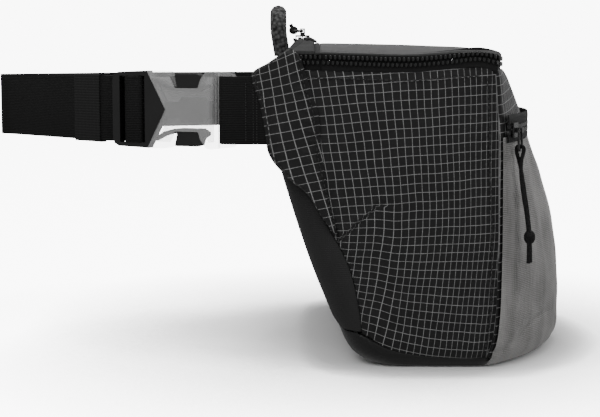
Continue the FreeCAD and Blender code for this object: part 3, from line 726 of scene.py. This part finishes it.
def back_swell(u, v, across, z):
    edge = min(ease(u, 0, 0.05), ease(1 - u, 0, 0.05), ease(v, 0, 0.04), ease(1 - v, 0, 0.04))
    return 1.4 * edge + 0.35 * ripple(across, z, 21.0, 1.6) * edge - 0.4 * (1 - edge)


def front_swell(u, v, across, z):
    edge = min(ease(u, 0, 0.03), ease(1 - u, 0, 0.03), ease(1 - v, 0, 0.03))
    return 0.5 * edge + 0.5 * ripple(across, z, 31.0) * edge * ease(z, 120, 150) - 0.9 * (1 - edge)


wrap_panel("back_cloth_panel", "back_panel", "back_cloth", heights_between(21.0, 177.0, 60),
           lambda z: (None, smooth_table(REAR_SEAM, z)[0]), back_swell)
wrap_panel("front_cloth_panel", "front_panel", "ripstop", heights_between(5.0, 173.0, 64),
           lambda z: (smooth_table(FRONT_SEAM, z)[0], None), front_swell,
           lambda u, v: (0.77 * u, v + 0.10 * abs(u)))


def base_panel():
    """Coated base: a low wall under the seams, then a flat sole."""
    half_columns, wall_rows, sole_rows = 60, 8, 7
    seam_row = shell_row(10.0, None, None, half_columns)
    tops = [smooth_table(BASE_SEAM, x)[0] for x, _, _, _ in seam_row]
    rows = []
    for j in range(wall_rows):
        share = j / (wall_rows - 1)
        row = []
        for i, top in enumerate(tops):
            z = mix(top + 0.4, 0.0, share)
            x, y, nx, ny = shell_row(max(z, 0.0), None, None, half_columns)[i]
            tucked = 0.5 * (1 - ease(share, 0.0, 0.25)) + 0.5 * (1 - ease(1 - share, 0.0, 0.15))
            row.append((x - nx * tucked, y - ny * tucked, z, 0))
        rows.append(whole_row(row))
    sole = rows[-1]
    middle = (-5.0, 0.0)
    for j in range(1, sole_rows + 1):
        share = j / (sole_rows + 0.5)
        rows.append([(mix(x, middle[0], share), mix(y, middle[1], share), 0.0, 0) for x, y, _, _ in sole])
    return [[(x, y, z) for x, y, z, _ in row] for row in rows]


base = base_panel()
base_obj = panel("base_cloth_panel", base, "base_cloth", 1.4, centre=(-10, 0, 60))
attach(base_obj, "bag")
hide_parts("base_panel")

# ---------------------------------------------------------------- lid and yoke

HINGE_LINE = -78.0
CROWN_SLOPE = [(-110, 187.3), (-78, 187.5), (-40, 187.0), (2, 185.6), (14, 184.2), (24, 181.9), (40, 180.2)]
SKIRT_LOW = 182.2
SKIRT_INSET = 0.4
CROWN_REACH = 15.0
rim_back, rim_seam, rim_front, rim_narrower = LEVELS[-1][1:]
RIM_HALF = HALF_WIDTH - rim_narrower


def rim_front_x(y):
    """The rim's front edge at y."""
    reach, rise = RIM_HALF - FRONT_CORNER, rim_front - rim_seam
    radius = (reach**2 + rise**2) / (2 * rise)
    return rim_front - radius + math.sqrt(radius**2 - min(abs(y), reach) ** 2)


def chain_rise(x, y):
    """How far the chain stands above its mean height on the side and round the front."""
    if x < rim_seam - 1.0 and y < 0:
        return smooth_table(CHAIN_WAVE, x)[0]
    if x < rim_seam - 1.0:
        return 0.0
    return -1.2 + 1.2 * min(abs(y) / RIM_HALF, 1.0) ** 2


def cap_height(x, y, edge_distance, low, roundness=2.3):
    crown = smooth_table(CROWN_SLOPE, x)[0]
    share = min(edge_distance / CROWN_REACH, 1.0)
    domed = 1.0 - (1.0 - share) ** roundness
    sag = 0.9 * ease(edge_distance, 15.0, 60.0) + 0.25 * ripple(x, y, 41.0) * ease(edge_distance, 4.0, 20.0)
    return mix(low, crown, domed) - sag


def lid_rows():
    columns, count = 110, 62
    half = RIM_HALF - SKIRT_INSET
    rows = []
    for j in range(count):
        u = math.sin(math.pi / 2 * j / (count - 1))
        row = []
        for i in range(columns):
            y = half * math.sin(math.pi / 2 * (2 * i / (columns - 1) - 1))
            front = rim_front_x(y) - SKIRT_INSET
            corner = 1.0 - ease(half - abs(y), 0.0, 2.2)
            x = mix(HINGE_LINE + 1.0, front - 1.2 * corner, u)
            edge = min(half - abs(y), front - x)
            low = min(SKIRT_LOW + max(chain_rise(x, y), -1.6), 183.4)
            row.append((x, y, cap_height(x, y, max(edge, 0.0), low)))
        rows.append(row)
    return rows


lid = panel("lid_cloth_panel", lid_rows(), "lid_cloth", 1.5, centre=(-20, 0, 100))
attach(lid, "lid")
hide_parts("lid_panel")


def yoke_rows():
    """The yoke's top, then down over its edge round the back and both sides."""
    columns, count = 120, 40
    rows = []
    for j in range(count):
        share = j / (count - 1)
        row = []
        outer = shell_row(176.0, None, HINGE_LINE - 1.3, columns // 2, -0.3)
        for x, y, nx, ny in whole_row(outer[::-1]):
            lifted = ease(x, -99.0, -94.0) if y < 0 else 0.0
            hem, shoulder = mix(170.6, 181.2, lifted), mix(176.5, 183.0, lifted)
            if share < 0.3:
                row.append((x, y, mix(hem, shoulder, share / 0.3)))
                continue
            inwards = (share - 0.3) / 0.7
            reach = (HINGE_LINE - 1.3 - rim_back - 0.3) * inwards
            px, py = x - nx * reach, y - ny * reach
            px = min(px, HINGE_LINE - 1.3)
            welt = 2.7 * math.exp(-((px + 86.5) / 6.5) ** 4) * ease(102.0 - abs(py), 0.0, 10.0)
            row.append((px, py, cap_height(px, py, reach, shoulder, 1.2) + welt))
        rows.append(row)
    return rows


yoke = panel("yoke_cloth", yoke_rows(), "lid_cloth", 1.4, centre=(-70, 0, 120),
             material=MATERIALS["yoke_cloth"])
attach(yoke, "bag")
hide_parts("yoke")

PIPING_WIDE, PIPING_HIGH = 1.6, 1.05  # half sizes


def hinge_piping():
    """Corded seam that covers the fold where the lid meets the yoke."""
    half = RIM_HALF - 0.6
    path = [(-half - 0.4, 181.0)]
    for k in range(61):
        y = half * math.sin(math.pi / 2 * (k / 30 - 1))
        path.append((y, cap_height(HINGE_LINE, y, half - abs(y), 182.4) - 0.7))
    path.append((half + 0.4, 172.5))
    angles = [math.pi * a / 5 for a in range(10)]
    section = [(PIPING_WIDE * math.cos(a), PIPING_HIGH * math.sin(a)) for a in angles]
    rings = []
    for k, (y, z) in enumerate(path):
        before, after = neighbours(path, k)
        run = math.dist(before, after)
        up = (-(after[1] - before[1]) / run, (after[0] - before[0]) / run)
        rings.append([(HINGE_LINE + wide, y + high * up[0], z + high * up[1]) for wide, high in section])
    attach(ring_solid("hinge_piping", rings, "lid_cloth", material=MATERIALS["yoke_cloth"]), "bag")


hinge_piping()

# ---------------------------------------------------------------- wings

# foot of the wing, then up each of its edges to its top corner: height, x
WING_LEFT = [(77, -66.3), (88, -75), (102, -84), (111, -94.8), (124, -105.5), (138, -108), (154, -111),
             (170, -115.3), (176.5, -106), (182, -97.6), (184.2, -92.7)]
WING_RIGHT = [(77, -66.2), (98.6, -71), (121.5, -75), (148.7, -77.8), (160, -81.5), (173, -85.7),
              (180, -88), (184.2, -92.5)]
WING_INNER, WING_OUTER = 115.45, 119.1


def edge_point(edge, share):
    """A point part of the way along an edge given as (height, x) rows."""
    points = [(x, z) for z, x in edge]
    lengths = walk(points)
    table = [(lengths[i], *points[i]) for i in range(len(points))]
    return smooth_table(table, share * lengths[-1])


def wing_weave(x, z):
    tilt = mix(0.20, 0.48, ease(z, 158.0, 184.0))
    lean = mix(0.14, 0.30, ease(x, -112.0, -78.0))
    return 0.77 * (x + lean * (z - 150.0)), z - tilt * (x + 95.0)


def wing(side, name, cad_nodes):
    """A soft quilted wing over the end of the belt: skin, rounded edge and flat back."""
    columns, count = 44, 96
    outer, inner, places = [], [], []
    for j in range(count):
        v = j / (count - 1)
        left_x, left_z = edge_point(WING_LEFT, v)
        right_x, right_z = edge_point(WING_RIGHT, v)
        row, back_row, place_row = [], [], []
        for i in range(columns):
            u = i / (columns - 1)
            x, z = mix(left_x, right_x, u), mix(left_z, right_z, u)
            rim = min(ease(u, 0.0, 0.10), ease(1 - u, 0.0, 0.16), ease(v, 0.0, 0.05), ease(1 - v, 0.0, 0.05))
            belt_zone = (1.0 - ease(u, 0.0, 0.55)) * ease(z, 124.0, 131.0) * (1.0 - ease(z, 168.0, 175.0))
            pucker = 0.45 * math.sin(1.15 * z + 2.0 * ripple(x, z, 3.0))
            pucker = pucker * ease(u, 0.62, 0.9) * ease(1 - u, 0.0, 0.08)
            full = 2.3 * rim + 0.5 * rim * ripple(x, z, 50.0 + side, 0.8) + pucker
            depth = WING_INNER + 0.9 + max(full, (WING_OUTER - 0.2 - WING_INNER - 0.9) * belt_zone)
            row.append((x, side * min(depth, WING_OUTER + 0.9), z))
            back_row.append((x, side * WING_INNER, z))
            place_row.append(wing_weave(x, z))
        outer.append(row)
        inner.append(back_row)
        places.append(place_row)
    points = [p for row in outer for p in row] + [p for row in inner for p in row]
    half = count * columns
    faces = grid_faces(count, columns)
    faces += [tuple(half + k for k in face[::-1]) for face in grid_faces(count, columns)]
    border = [c for c in range(columns)] + [r * columns + columns - 1 for r in range(1, count)]
    border += [(count - 1) * columns + c for c in range(columns - 2, -1, -1)]
    border += [r * columns for r in range(count - 2, 0, -1)]
    for a, b in zip(border, border[1:] + border[:1]):
        faces.append((b, a, half + a, half + b))
    weave = [w for row in places for w in row] * 2
    obj = tidy_normals(add_mesh(name, points, faces, "ripstop", weave))
    obj.modifiers.new("rounding", "SUBSURF").render_levels = 1
    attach(obj, "bag")
    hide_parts(*cad_nodes)
    for tag, column in (("left", 3), ("right", columns - 5)):
        run = [row[column] for row in outer[3:-3]]
        stitch_run(f"{name}_{tag}_stitches", run, (0.0, side, 0.0), "bag", lift=0.15)
    return obj


wing(NEAR, "wing_near", ("wing_pad_near", "wing_skin_near"))
wing(FAR, "wing_far", ("wing_pad_far", "wing_skin_far"))

# ---------------------------------------------------------------- sheer front pocket

POCKET_LEVELS = [(1, 72), (7, 77.5), (24, 78.5), (50, 77.5), (80, 73.5), (108, 65), (133.2, 56.5)]


def pocket_rows():
    columns, count = 150, 90
    rows = []
    for j in range(count):
        z = mix(0.6, 134.2, j / (count - 1))
        middle = smooth_table(POCKET_LEVELS, z)[0]
        _, seam, _, narrower = smooth_table(LEVELS, z)
        half = HALF_WIDTH - narrower + 0.9
        rise = middle - (seam + 0.6)
        radius = (half**2 + rise**2) / (2 * rise)
        reach = math.asin(half / radius)
        row = []
        for i in range(columns):
            share = 2 * i / (columns - 1) - 1
            angle = reach * share
            gather = ease(1 - abs(share), 0.0, 0.12) * ease(z, 1.0, 12.0) * ease(134 - z, 0.0, 14.0)
            folds = 0.5 * math.sin(26 * share + 1.5 * ripple(share * 60, z, 60.0)) * gather
            folds += 0.9 * ripple(share * 110, z, 61.0) * gather
            crease_height = mix(9.0, 26.0, ease((1 - abs(share)) * half, 0.0, 42.0))
            crease = -1.3 * math.exp(-((z - crease_height) / 1.5) ** 2)
            crease = crease * (1 - ease(1 - abs(share), 0.35, 0.6))
            distance = radius + folds - 0.6 + crease
            x = middle - radius + distance * math.cos(angle)
            row.append((x, distance * math.sin(angle), z))
        rows.append(row)
    return rows


pocket = panel("pocket_mesh_cloth", pocket_rows(), "mesh", 0.8, centre=(20, 0, 60))
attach(pocket, "bag")
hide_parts("front_pocket")

# ---------------------------------------------------------------- zips

TOOTH_PITCH = 2.6
TOOTH_WEAR = 0.00018  # m, how far a tooth's edges are worn


def tooth_rings(centre, tangent, outward, up, long, high, thick):
    """Octagonal block with a smaller outer face: one moulded tooth."""
    outline = [(-0.5, -0.28), (-0.28, -0.5), (0.28, -0.5), (0.5, -0.28),
               (0.5, 0.28), (0.28, 0.5), (-0.28, 0.5), (-0.5, 0.28)]
    rings = []
    for depth, scale in ((-0.5, 0.8), (-0.38, 1.0), (0.3, 1.0), (0.5, 0.72)):
        rings.append([tuple(centre[k] + tangent[k] * a * long * scale + up[k] * b * high * scale
                            + outward[k] * depth * thick for k in range(3)) for a, b in outline])
    return rings


def chain(name, path, body, cad_node, low_row, high_row, up, size=(1.75, 2.6, 2.3)):
    """Teeth along a path, in a row at each given offset along up. None leaves that row out."""
    points, faces = [], []
    lengths = walk([p for p, _, _ in path])
    for row_offset, up_shift in ((0.0, low_row), (TOOTH_PITCH / 2, high_row)):
        if up_shift is None:
            continue
        first, last = row_offset + TOOTH_PITCH / 2, lengths[-1] - TOOTH_PITCH / 2
        for k, share in placed_along(lengths, first, last, TOOTH_PITCH):
            (a, tangent, outward), (b, _, _) = path[k], path[k + 1]
            centre = [mix(a[m], b[m], share) + up[m] * up_shift for m in range(3)]
            base = len(points)
            rings = tooth_rings(centre, tangent, outward, up, *size)
            points += [p for ring in rings for p in ring]
            faces += ring_faces(base, len(rings), 8)
    obj = tidy_normals(add_mesh(name, points, faces, "zip_teeth", smooth=False))
    bevel = obj.modifiers.new("worn_edges", "BEVEL")
    bevel.width = TOOTH_WEAR
    bevel.segments = 2
    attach(obj, body)
    if cad_node:
        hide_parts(cad_node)
    return obj


def rim_path(level, near_x, far_x, out, height, rise=None):
    """Rows of (point, tangent, outward) along the rim: the near side, round the front, the far side."""
    outline = half_outline(level, out)
    lengths = walk(outline)
    halves = []
    for start, sign in ((near_x, -1), (far_x, 1)):
        low = length_at(outline, lengths, start)
        part = []
        for i in range(150):
            x, y, _, _ = point_at(outline, lengths, mix(low, lengths[-1], i / 149))
            lift = rise(x, sign * abs(y)) if rise else 0.0
            part.append((x, sign * abs(y), height + lift))
        halves.append(part)
    near_half, far_half = halves
    joined = near_half + far_half[-2::-1]
    path = []
    for k, point in enumerate(joined):
        before, after = neighbours(joined, k)
        run = Vector(after) - Vector(before)
        run.normalize()
        outward = run.cross(Vector((0, 0, 1))).normalized()
        if outward.dot(Vector(point) - Vector((-30.0, 0.0, point[2]))) < 0:
            outward.negate()
        path.append((point, tuple(run), tuple(outward)))
    return path


MAIN_CHAIN = 177.7
ROW_CENTRE = 1.6
UP = (0.0, 0.0, 1.0)
main_path = rim_path(176.0, HINGE_LINE + 2.0, HINGE_LINE + 11.5, -0.8, MAIN_CHAIN, chain_rise)
chain("main_teeth_lower", main_path, "bag", "main_zip_teeth_body", -ROW_CENTRE, None, UP)
chain("main_teeth_upper", main_path, "lid", "main_zip_teeth_lid", None, ROW_CENTRE, UP)
end_path = [place for place in rim_path(176.0, HINGE_LINE - 14.0, 0.0, -0.8, MAIN_CHAIN, chain_rise)
            if place[0][1] < 0 and place[0][0] < HINGE_LINE + 3.4]
chain("main_teeth_end", end_path, "bag", None, -ROW_CENTRE, ROW_CENTRE, UP)
pocket_path = rim_path(138.0, 30.1, 30.1, 2.4, 138.0)
SMALL_TOOTH = (1.6, 2.4, 2.0)
chain("pocket_teeth", pocket_path, "bag", "pocket_zip_teeth", -ROW_CENTRE, ROW_CENTRE, UP, SMALL_TOOTH)


def tape_band(name, path, body, cad_node, low, high, shift, thick=0.7, bow=0.0):
    """Woven tape along a path, between two heights from it. shift moves it outwards."""
    rings = []
    for point, _, outward in path:
        ring = []
        for inner in (0, 1):
            for k in range(5):
                share = k / 4 if not inner else 1 - k / 4
                z = mix(low, high, share)
                depth = shift + (-thick / 2 if inner else thick / 2) + bow * math.sin(math.pi * share)
                ring.append((point[0] + outward[0] * depth, point[1] + outward[1] * depth, point[2] + z))
        rings.append(ring)
    obj = ring_solid(name, rings, "zip_tape")
    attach(obj, body)
    if cad_node:
        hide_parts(cad_node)
    return obj


tape_band("main_tape_end", end_path, "bag", None, -7.2, 4.6, -1.0)
tape_band("main_tape_lower", main_path, "bag", "main_zip_tape_body", -7.2, -0.03, -0.75, bow=0.2)
tape_band("main_tape_upper", main_path, "lid", "main_zip_tape_lid", 0.03, 5.2, -0.75)


def merged(name, objects, body, cad_nodes):
    """Join meshes into one piece."""
    work = bmesh.new()
    for obj in objects:
        work.from_mesh(obj.data)
    data = bpy.data.meshes.new(name)
    work.to_mesh(data)
    work.free()
    data.materials.append(objects[0].data.materials[0])
    made = bpy.data.objects.new(name, data)
    collection.objects.link(made)
    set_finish(made, objects[0]["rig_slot"])
    for obj in objects:
        bpy.data.objects.remove(obj)
    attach(made, body)
    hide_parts(*cad_nodes)
    return made


pocket_tapes = [
    tape_band("pocket_tape_a", pocket_path, "bag", "pocket_zip_tape", -7.0, -2.6, 0.1, bow=0.5),
    tape_band("pocket_tape_b", pocket_path, "bag", "pocket_zip_tape", 2.6, 9.0, 0.1, bow=0.5)]
merged("pocket_tape", pocket_tapes, "bag", ["pocket_zip_tape"])

REAR_LINE, REAR_HEIGHT, REAR_REACH = -86.5, 190.1, 90.0
FORWARDS, ACROSS = (1.0, 0.0, 0.0), (0.0, 1.0, 0.0)
rear_path = [((REAR_LINE, mix(-REAR_REACH, REAR_REACH, i / 60), REAR_HEIGHT), ACROSS, UP) for i in range(61)]
chain("rear_teeth", rear_path, "bag", "rear_zip_teeth", -ROW_CENTRE, ROW_CENTRE, FORWARDS, SMALL_TOOTH)

# ---------------------------------------------------------------- belt

BELT_MIDDLE, WEBBING_WIDTH, WEBBING_THICK = 149.5, 38.4, 1.3
turn = math.radians(22.0)


def on_belt(x, y):
    """A plan point from the buckle's own frame."""
    c, s = math.cos(turn), math.sin(turn)
    return (-124.0 + x * c + y * s, -115.0 - x * s + y * c)


def flowing(points, per):
    """A smooth plan line through all the points."""
    line = []
    for k in range(len(points) - 1):
        p0, p1 = points[max(k - 1, 0)], points[k]
        p2, p3 = points[k + 1], points[min(k + 2, len(points) - 1)]
        reach = math.dist(p1, p2)
        before, after = max(math.dist(p0, p1), 1e-6), max(math.dist(p2, p3), 1e-6)
        first, last = k == 0, k == len(points) - 2
        m1 = [p2[a] - p1[a] if first else (p2[a] - p0[a]) / (before + reach) * reach for a in (0, 1)]
        m2 = [p2[a] - p1[a] if last else (p3[a] - p1[a]) / (reach + after) * reach for a in (0, 1)]
        steps = max(2, int(reach / per))
        for i in range(steps):
            t = i / steps
            line.append(tuple(hermite(t, p1[a], p2[a], m1[a], m2[a]) for a in (0, 1)))
    return line + [points[-1]]


def strap(name, line):
    """Webbing on edge along a plan line, with soft selvedges."""
    half, high, edge = WEBBING_THICK / 2, WEBBING_WIDTH / 2, 0.55
    worn = half * 0.6
    section = [(half, -high + edge), (half, 0.0), (half, high - edge), (worn, high - 0.12),
               (0.0, high), (-worn, high - 0.12), (-half, high - edge), (-half, 0.0),
               (-half, -high + edge), (-worn, -high + 0.12), (0.0, -high), (worn, -high + 0.12)]
    rings = []
    for k, (x, y) in enumerate(line):
        before, after = neighbours(line, k)
        run = math.dist(before, after)
        nx, ny = (after[1] - before[1]) / run, -(after[0] - before[0]) / run
        rings.append([(x + nx * a, y + ny * a, BELT_MIDDLE + b) for a, b in section])
    return ring_solid(name, rings, "webbing")


WING_STRAP = 117.6
near_line = flowing([(-99.0, -WING_STRAP), (-107.0, -WING_STRAP), (-113.5, -117.55), (-119.5, -117.4),
                     on_belt(-0.6, -2.6), on_belt(-4.5, -2.62), on_belt(-8.0, -2.5), on_belt(-9.3, -1.6),
                     on_belt(-9.75, 0.0), on_belt(-9.3, 1.7), on_belt(-8.0, 2.6), on_belt(-4.5, 2.72),
                     on_belt(-0.6, 2.7), (-114.6, -116.15)], 1.0)
near_strap = strap("belt_near", near_line)
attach(near_strap, "bag")
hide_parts("strap_near")
for number, stitch_x in enumerate((-112.4, -114.4, -118.6)):
    row = [(stitch_x, -WING_STRAP, BELT_MIDDLE - 18.0 + 1.0 * k) for k in range(37)]
    stitch_run(f"strap_stitches_{number}", row, (0.0, -1.0, 0.0), "bag",
               pitch=1.5, long=0.95, wide=0.26, lift=0.72)

BELT_BEND, BELT_END = (-203.0, -79.5), (-273.5, -7.6)
TAIL_DEPTH = 1.65
run = math.dist(BELT_BEND, BELT_END)
along = ((BELT_END[0] - BELT_BEND[0]) / run, (BELT_END[1] - BELT_BEND[1]) / run)
inside = (-along[1], along[0]) if along[1] < 0 else (along[1], -along[0])


def beside(distance, depth):
    """A point along the straight belt, set in towards the wearer."""
    return tuple(BELT_BEND[a] + along[a] * distance + inside[a] * depth for a in (0, 1))


belt_line = flowing([
    beside(52.0, TAIL_DEPTH), beside(26.0, TAIL_DEPTH), beside(2.0, TAIL_DEPTH), on_belt(-74.0, 5.6),
    on_belt(-63.2, 6.0), on_belt(-60.6, 5.2), on_belt(-59.5, 3.2), on_belt(-59.4, 0.0),
    on_belt(-59.6, -2.2), on_belt(-60.6, -3.4), on_belt(-62.6, -3.7), on_belt(-66.6, -3.7),
    on_belt(-68.7, -3.3), on_belt(-69.9, -2.0), on_belt(-70.4, 0.0), on_belt(-70.9, 2.2),
    on_belt(-72.2, 3.7), on_belt(-75.5, 4.05), BELT_BEND, beside(30.0, 0.0), beside(70.0, 0.0),
    BELT_END, (-279.6, -2.6), (-280.8, 0.0), (-279.6, 2.6), (-273.5, 7.6), (-234.6, 50.4),
    (-199.0, 83.0), (-160.0, 101.5), (-119.0, 117.3), (-112.0, WING_STRAP), (-99.0, WING_STRAP)], 1.4)
belt = strap("belt_loop", belt_line)
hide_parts("strap_adjuster", "strap_far")
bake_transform(belt)


KEEPER_BOW = 3.4  # how far the band's middle is pulled along the belt


def keeper_band():
    """Ribbed elastic band sewn into a loop round the belt and its tail."""
    start, long = 3.4, 25.0
    rings = []
    steps = 36
    for k in range(steps + 1):
        share = k / steps
        along_belt = start + long * share
        flare = 0.12 * math.sin(math.pi * 14 * share)
        ring = []
        out = flare * 0.3
        for a, b in rounded_box(-1.75 - out, TAIL_DEPTH + 1.75 + out, 19.0 + 1.15 + out, 1.0):
            spot = beside(along_belt + KEEPER_BOW * math.cos(math.pi * b / 42.0), a)
            ring.append((spot[0], spot[1], BELT_MIDDLE + b))
        rings.append(ring)
    inner = []
    for k in (steps, 0):
        share = k / steps
        ring = []
        for a, b in rounded_box(-0.95, TAIL_DEPTH + 0.95, 19.0 + 0.35, 0.5):
            spot = beside(start + long * share + KEEPER_BOW * math.cos(math.pi * b / 42.0), a)
            ring.append((spot[0], spot[1], BELT_MIDDLE + b))
        inner.append(ring)
    return ring_solid("keeper_band", rings + inner, "elastic", closed=True)


def rounded_box(low, high, half, radius):
    """Outline of a tall box section with round corners, in (depth, height)."""
    points = []
    for cx, cz, first in ((high - radius, half - radius, 0), (low + radius, half - radius, 90),
                          (low + radius, -half + radius, 180), (high - radius, -half + radius, 270)):
        for k in range(4):
            a = math.radians(first + 30 * k)
            points.append((cx + radius * math.cos(a), cz + radius * math.sin(a)))
    return points


keeper = keeper_band()
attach(keeper, "keeper")
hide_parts("strap_keeper")

# ---------------------------------------------------------------- carrying loop


def carrying_loop():
    """Knitted round cord, a little flattened where it is sewn in."""
    low, high, reach, x_low, x_high = 180.0, 207.9, 22.0, -99.2, -101.8
    route = [(x_low, -reach, low)]
    for k in range(41):
        a = math.pi * k / 40
        route.append((x_high, -reach * math.cos(a), high - 12.0 + 12.0 * math.sin(a) ** 0.8))
    route.append((x_low, reach, low))
    line = []
    for a, b in zip(route, route[1:]):
        steps = max(1, int(math.dist(a, b) / 1.2))
        line += [tuple(mix(a[m], b[m], i / steps) for m in range(3)) for i in range(steps)]
    line.append(route[-1])
    for _ in range(6):
        line = [line[0]] + [tuple((line[k - 1][m] + 2 * line[k][m] + line[k + 1][m]) / 4 for m in range(3))
                            for k in range(1, len(line) - 1)] + [line[-1]]
    rings, sides = [], 20
    for k, point in enumerate(line):
        before, after = neighbours(line, k)
        run_dir = (Vector(after) - Vector(before)).normalized()
        across = Vector((1, 0, 0))
        other = run_dir.cross(across).normalized()
        ring = []
        for s in range(sides):
            a = 2 * math.pi * s / sides
            knit = 0.22 * math.sin(5 * a + k * 1.1) * math.sin(5 * a - k * 1.1)
            radius = 5.0 + knit
            spot = Vector(point) + across * radius * math.cos(a) + other * radius * 0.92 * math.sin(a)
            ring.append(tuple(spot))
        rings.append(ring)
    return ring_solid("carrying_loop_knit", rings, "loop_knit")


loop = carrying_loop()
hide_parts("carrying_loop")
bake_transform(loop)

# ---------------------------------------------------------------- hard pieces from the CAD

# slot and the width its edges are rounded to, in mm
CARRIED = {
    "buckle_socket": ("clear_plastic", 0.9), "buckle_plug": ("black_plastic", 0.8),
    "latch_upper": ("black_plastic", 0.7), "latch_lower": ("black_plastic", 0.7),
    "pocket_slider": ("slider_metal", 0.14), "main_slider": ("slider_metal", 0.14),
    "rear_slider": ("slider_metal", 0.14), "pocket_bail": ("bail_metal", 0),
    "main_bail": ("bail_metal", 0), "rear_bail": ("bail_metal", 0), "pocket_knot": ("cord", 0),
    "main_knot": ("cord", 0), "rear_knot": ("cord", 0), "rear_zip_tape": ("zip_tape", 0),
    "lining": ("lining_cloth", 0), "back_foam": ("foam", 0), "base_stiffener": ("stiffener", 0),
}
for cad_name, (slot_name, bevel_width) in CARRIED.items():
    carried = NODES[cad_name]
    carried.data.materials.clear()
    carried.data.materials.append(MATERIALS[slot_name])
    if bevel_width:
        carried.modifiers.new("join", "WELD").merge_threshold = 0.00001
        bevel = carried.modifiers.new("rounding", "BEVEL")
        bevel.width = bevel_width * MM
        bevel.segments = 3
        bevel.limit_method = "ANGLE"
        bevel.angle_limit = math.radians(40)

# ---------------------------------------------------------------- stage and light


def turned(profile, steps=64):
    """Points and faces of a surface turned about the upright axis, from (radius, height) rows in mm."""
    round_trip = [2 * math.pi * k / steps for k in range(steps)]
    rows = [[(r * math.cos(a), r * math.sin(a), z) for a in round_trip] for r, z in profile]
    return [p for row in rows for p in row], grid_faces(len(rows), steps, closed=True)


FLOOR_LOW, FLOOR_REACH, WALL_BEND = -0.3, 2300.0, 700.0
wall_profile = [(FLOOR_REACH + WALL_BEND * math.sin(math.pi / 2 * k / 10),
                 FLOOR_LOW + WALL_BEND * (1 - math.cos(math.pi / 2 * k / 10))) for k in range(11)]
wall_profile.append((FLOOR_REACH + WALL_BEND, 4000.0))
floor_material = new_material("pale_floor", {"Roughness": 0.9, "Base Color": grey(0.9)})
# Painted shadow: the floor glows, and ambient occlusion dims that glow near the pack. This paints a soft
# contact shadow round and under it, on top of the shadows the lamps cast.
wide = node(floor_material, "AmbientOcclusion", {"Distance": 0.2}, samples=8).outputs["AO"]
close = node(floor_material, "AmbientOcclusion", {"Distance": 0.03}, samples=8).outputs["AO"]
wide_painted_shadow = calc(floor_material, "POWER", wide, 5.0)
shade = calc(floor_material, "MULTIPLY", wide_painted_shadow, calc(floor_material, "POWER", close, 6.0))
glow = calc(floor_material, "MULTIPLY", shade, 8.5)
floor_shader = floor_material.node_tree.nodes["Principled BSDF"]
floor_shader.inputs["Emission Color"].default_value = (1, 1, 1, 1)
floor_material.node_tree.links.new(glow, floor_shader.inputs["Emission Strength"])
for stage_name, profile in (("floor", [(1.0, FLOOR_LOW), (600.0, FLOOR_LOW), (FLOOR_REACH, FLOOR_LOW)]),
                            ("backdrop", wall_profile)):
    stage_points, stage_faces = turned(profile)
    stage_piece = add_mesh(stage_name, stage_points, stage_faces, "mesh", material=floor_material)
    del stage_piece["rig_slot"]
    stage_piece.visible_diffuse = False
    stage_piece.visible_glossy = False
    stage_piece.visible_shadow = stage_name == "floor"

world = bpy.data.worlds.new("studio")
scene.world = world
world.use_nodes = True
world.node_tree.nodes["Background"].inputs[0].default_value = (1, 1, 1, 1)
world.node_tree.nodes["Background"].inputs[1].default_value = 0.42


def area_light(name, spot, aim, size, power):
    data = bpy.data.lights.new(name, "AREA")
    data.shape = "RECTANGLE"
    data.size, data.size_y = size
    data.energy = power
    obj = bpy.data.objects.new(name, data)
    obj.location = spot
    obj.rotation_euler = (Vector(aim) - Vector(spot)).to_track_quat("-Z", "Y").to_euler()
    collection.objects.link(obj)


TARGET = (-0.08, 0.0, 0.1)
area_light("key", (-0.7, -1.1, 1.2), TARGET, (0.9, 0.9), 11.0)
area_light("fill", (0.9, -1.0, 0.5), TARGET, (0.9, 0.9), 3.5)
area_light("top", (-0.1, 0.2, 1.4), TARGET, (1.2, 0.8), 9.0)
area_light("rim", (0.9, 0.7, 0.7), TARGET, (0.6, 0.9), 4.0)
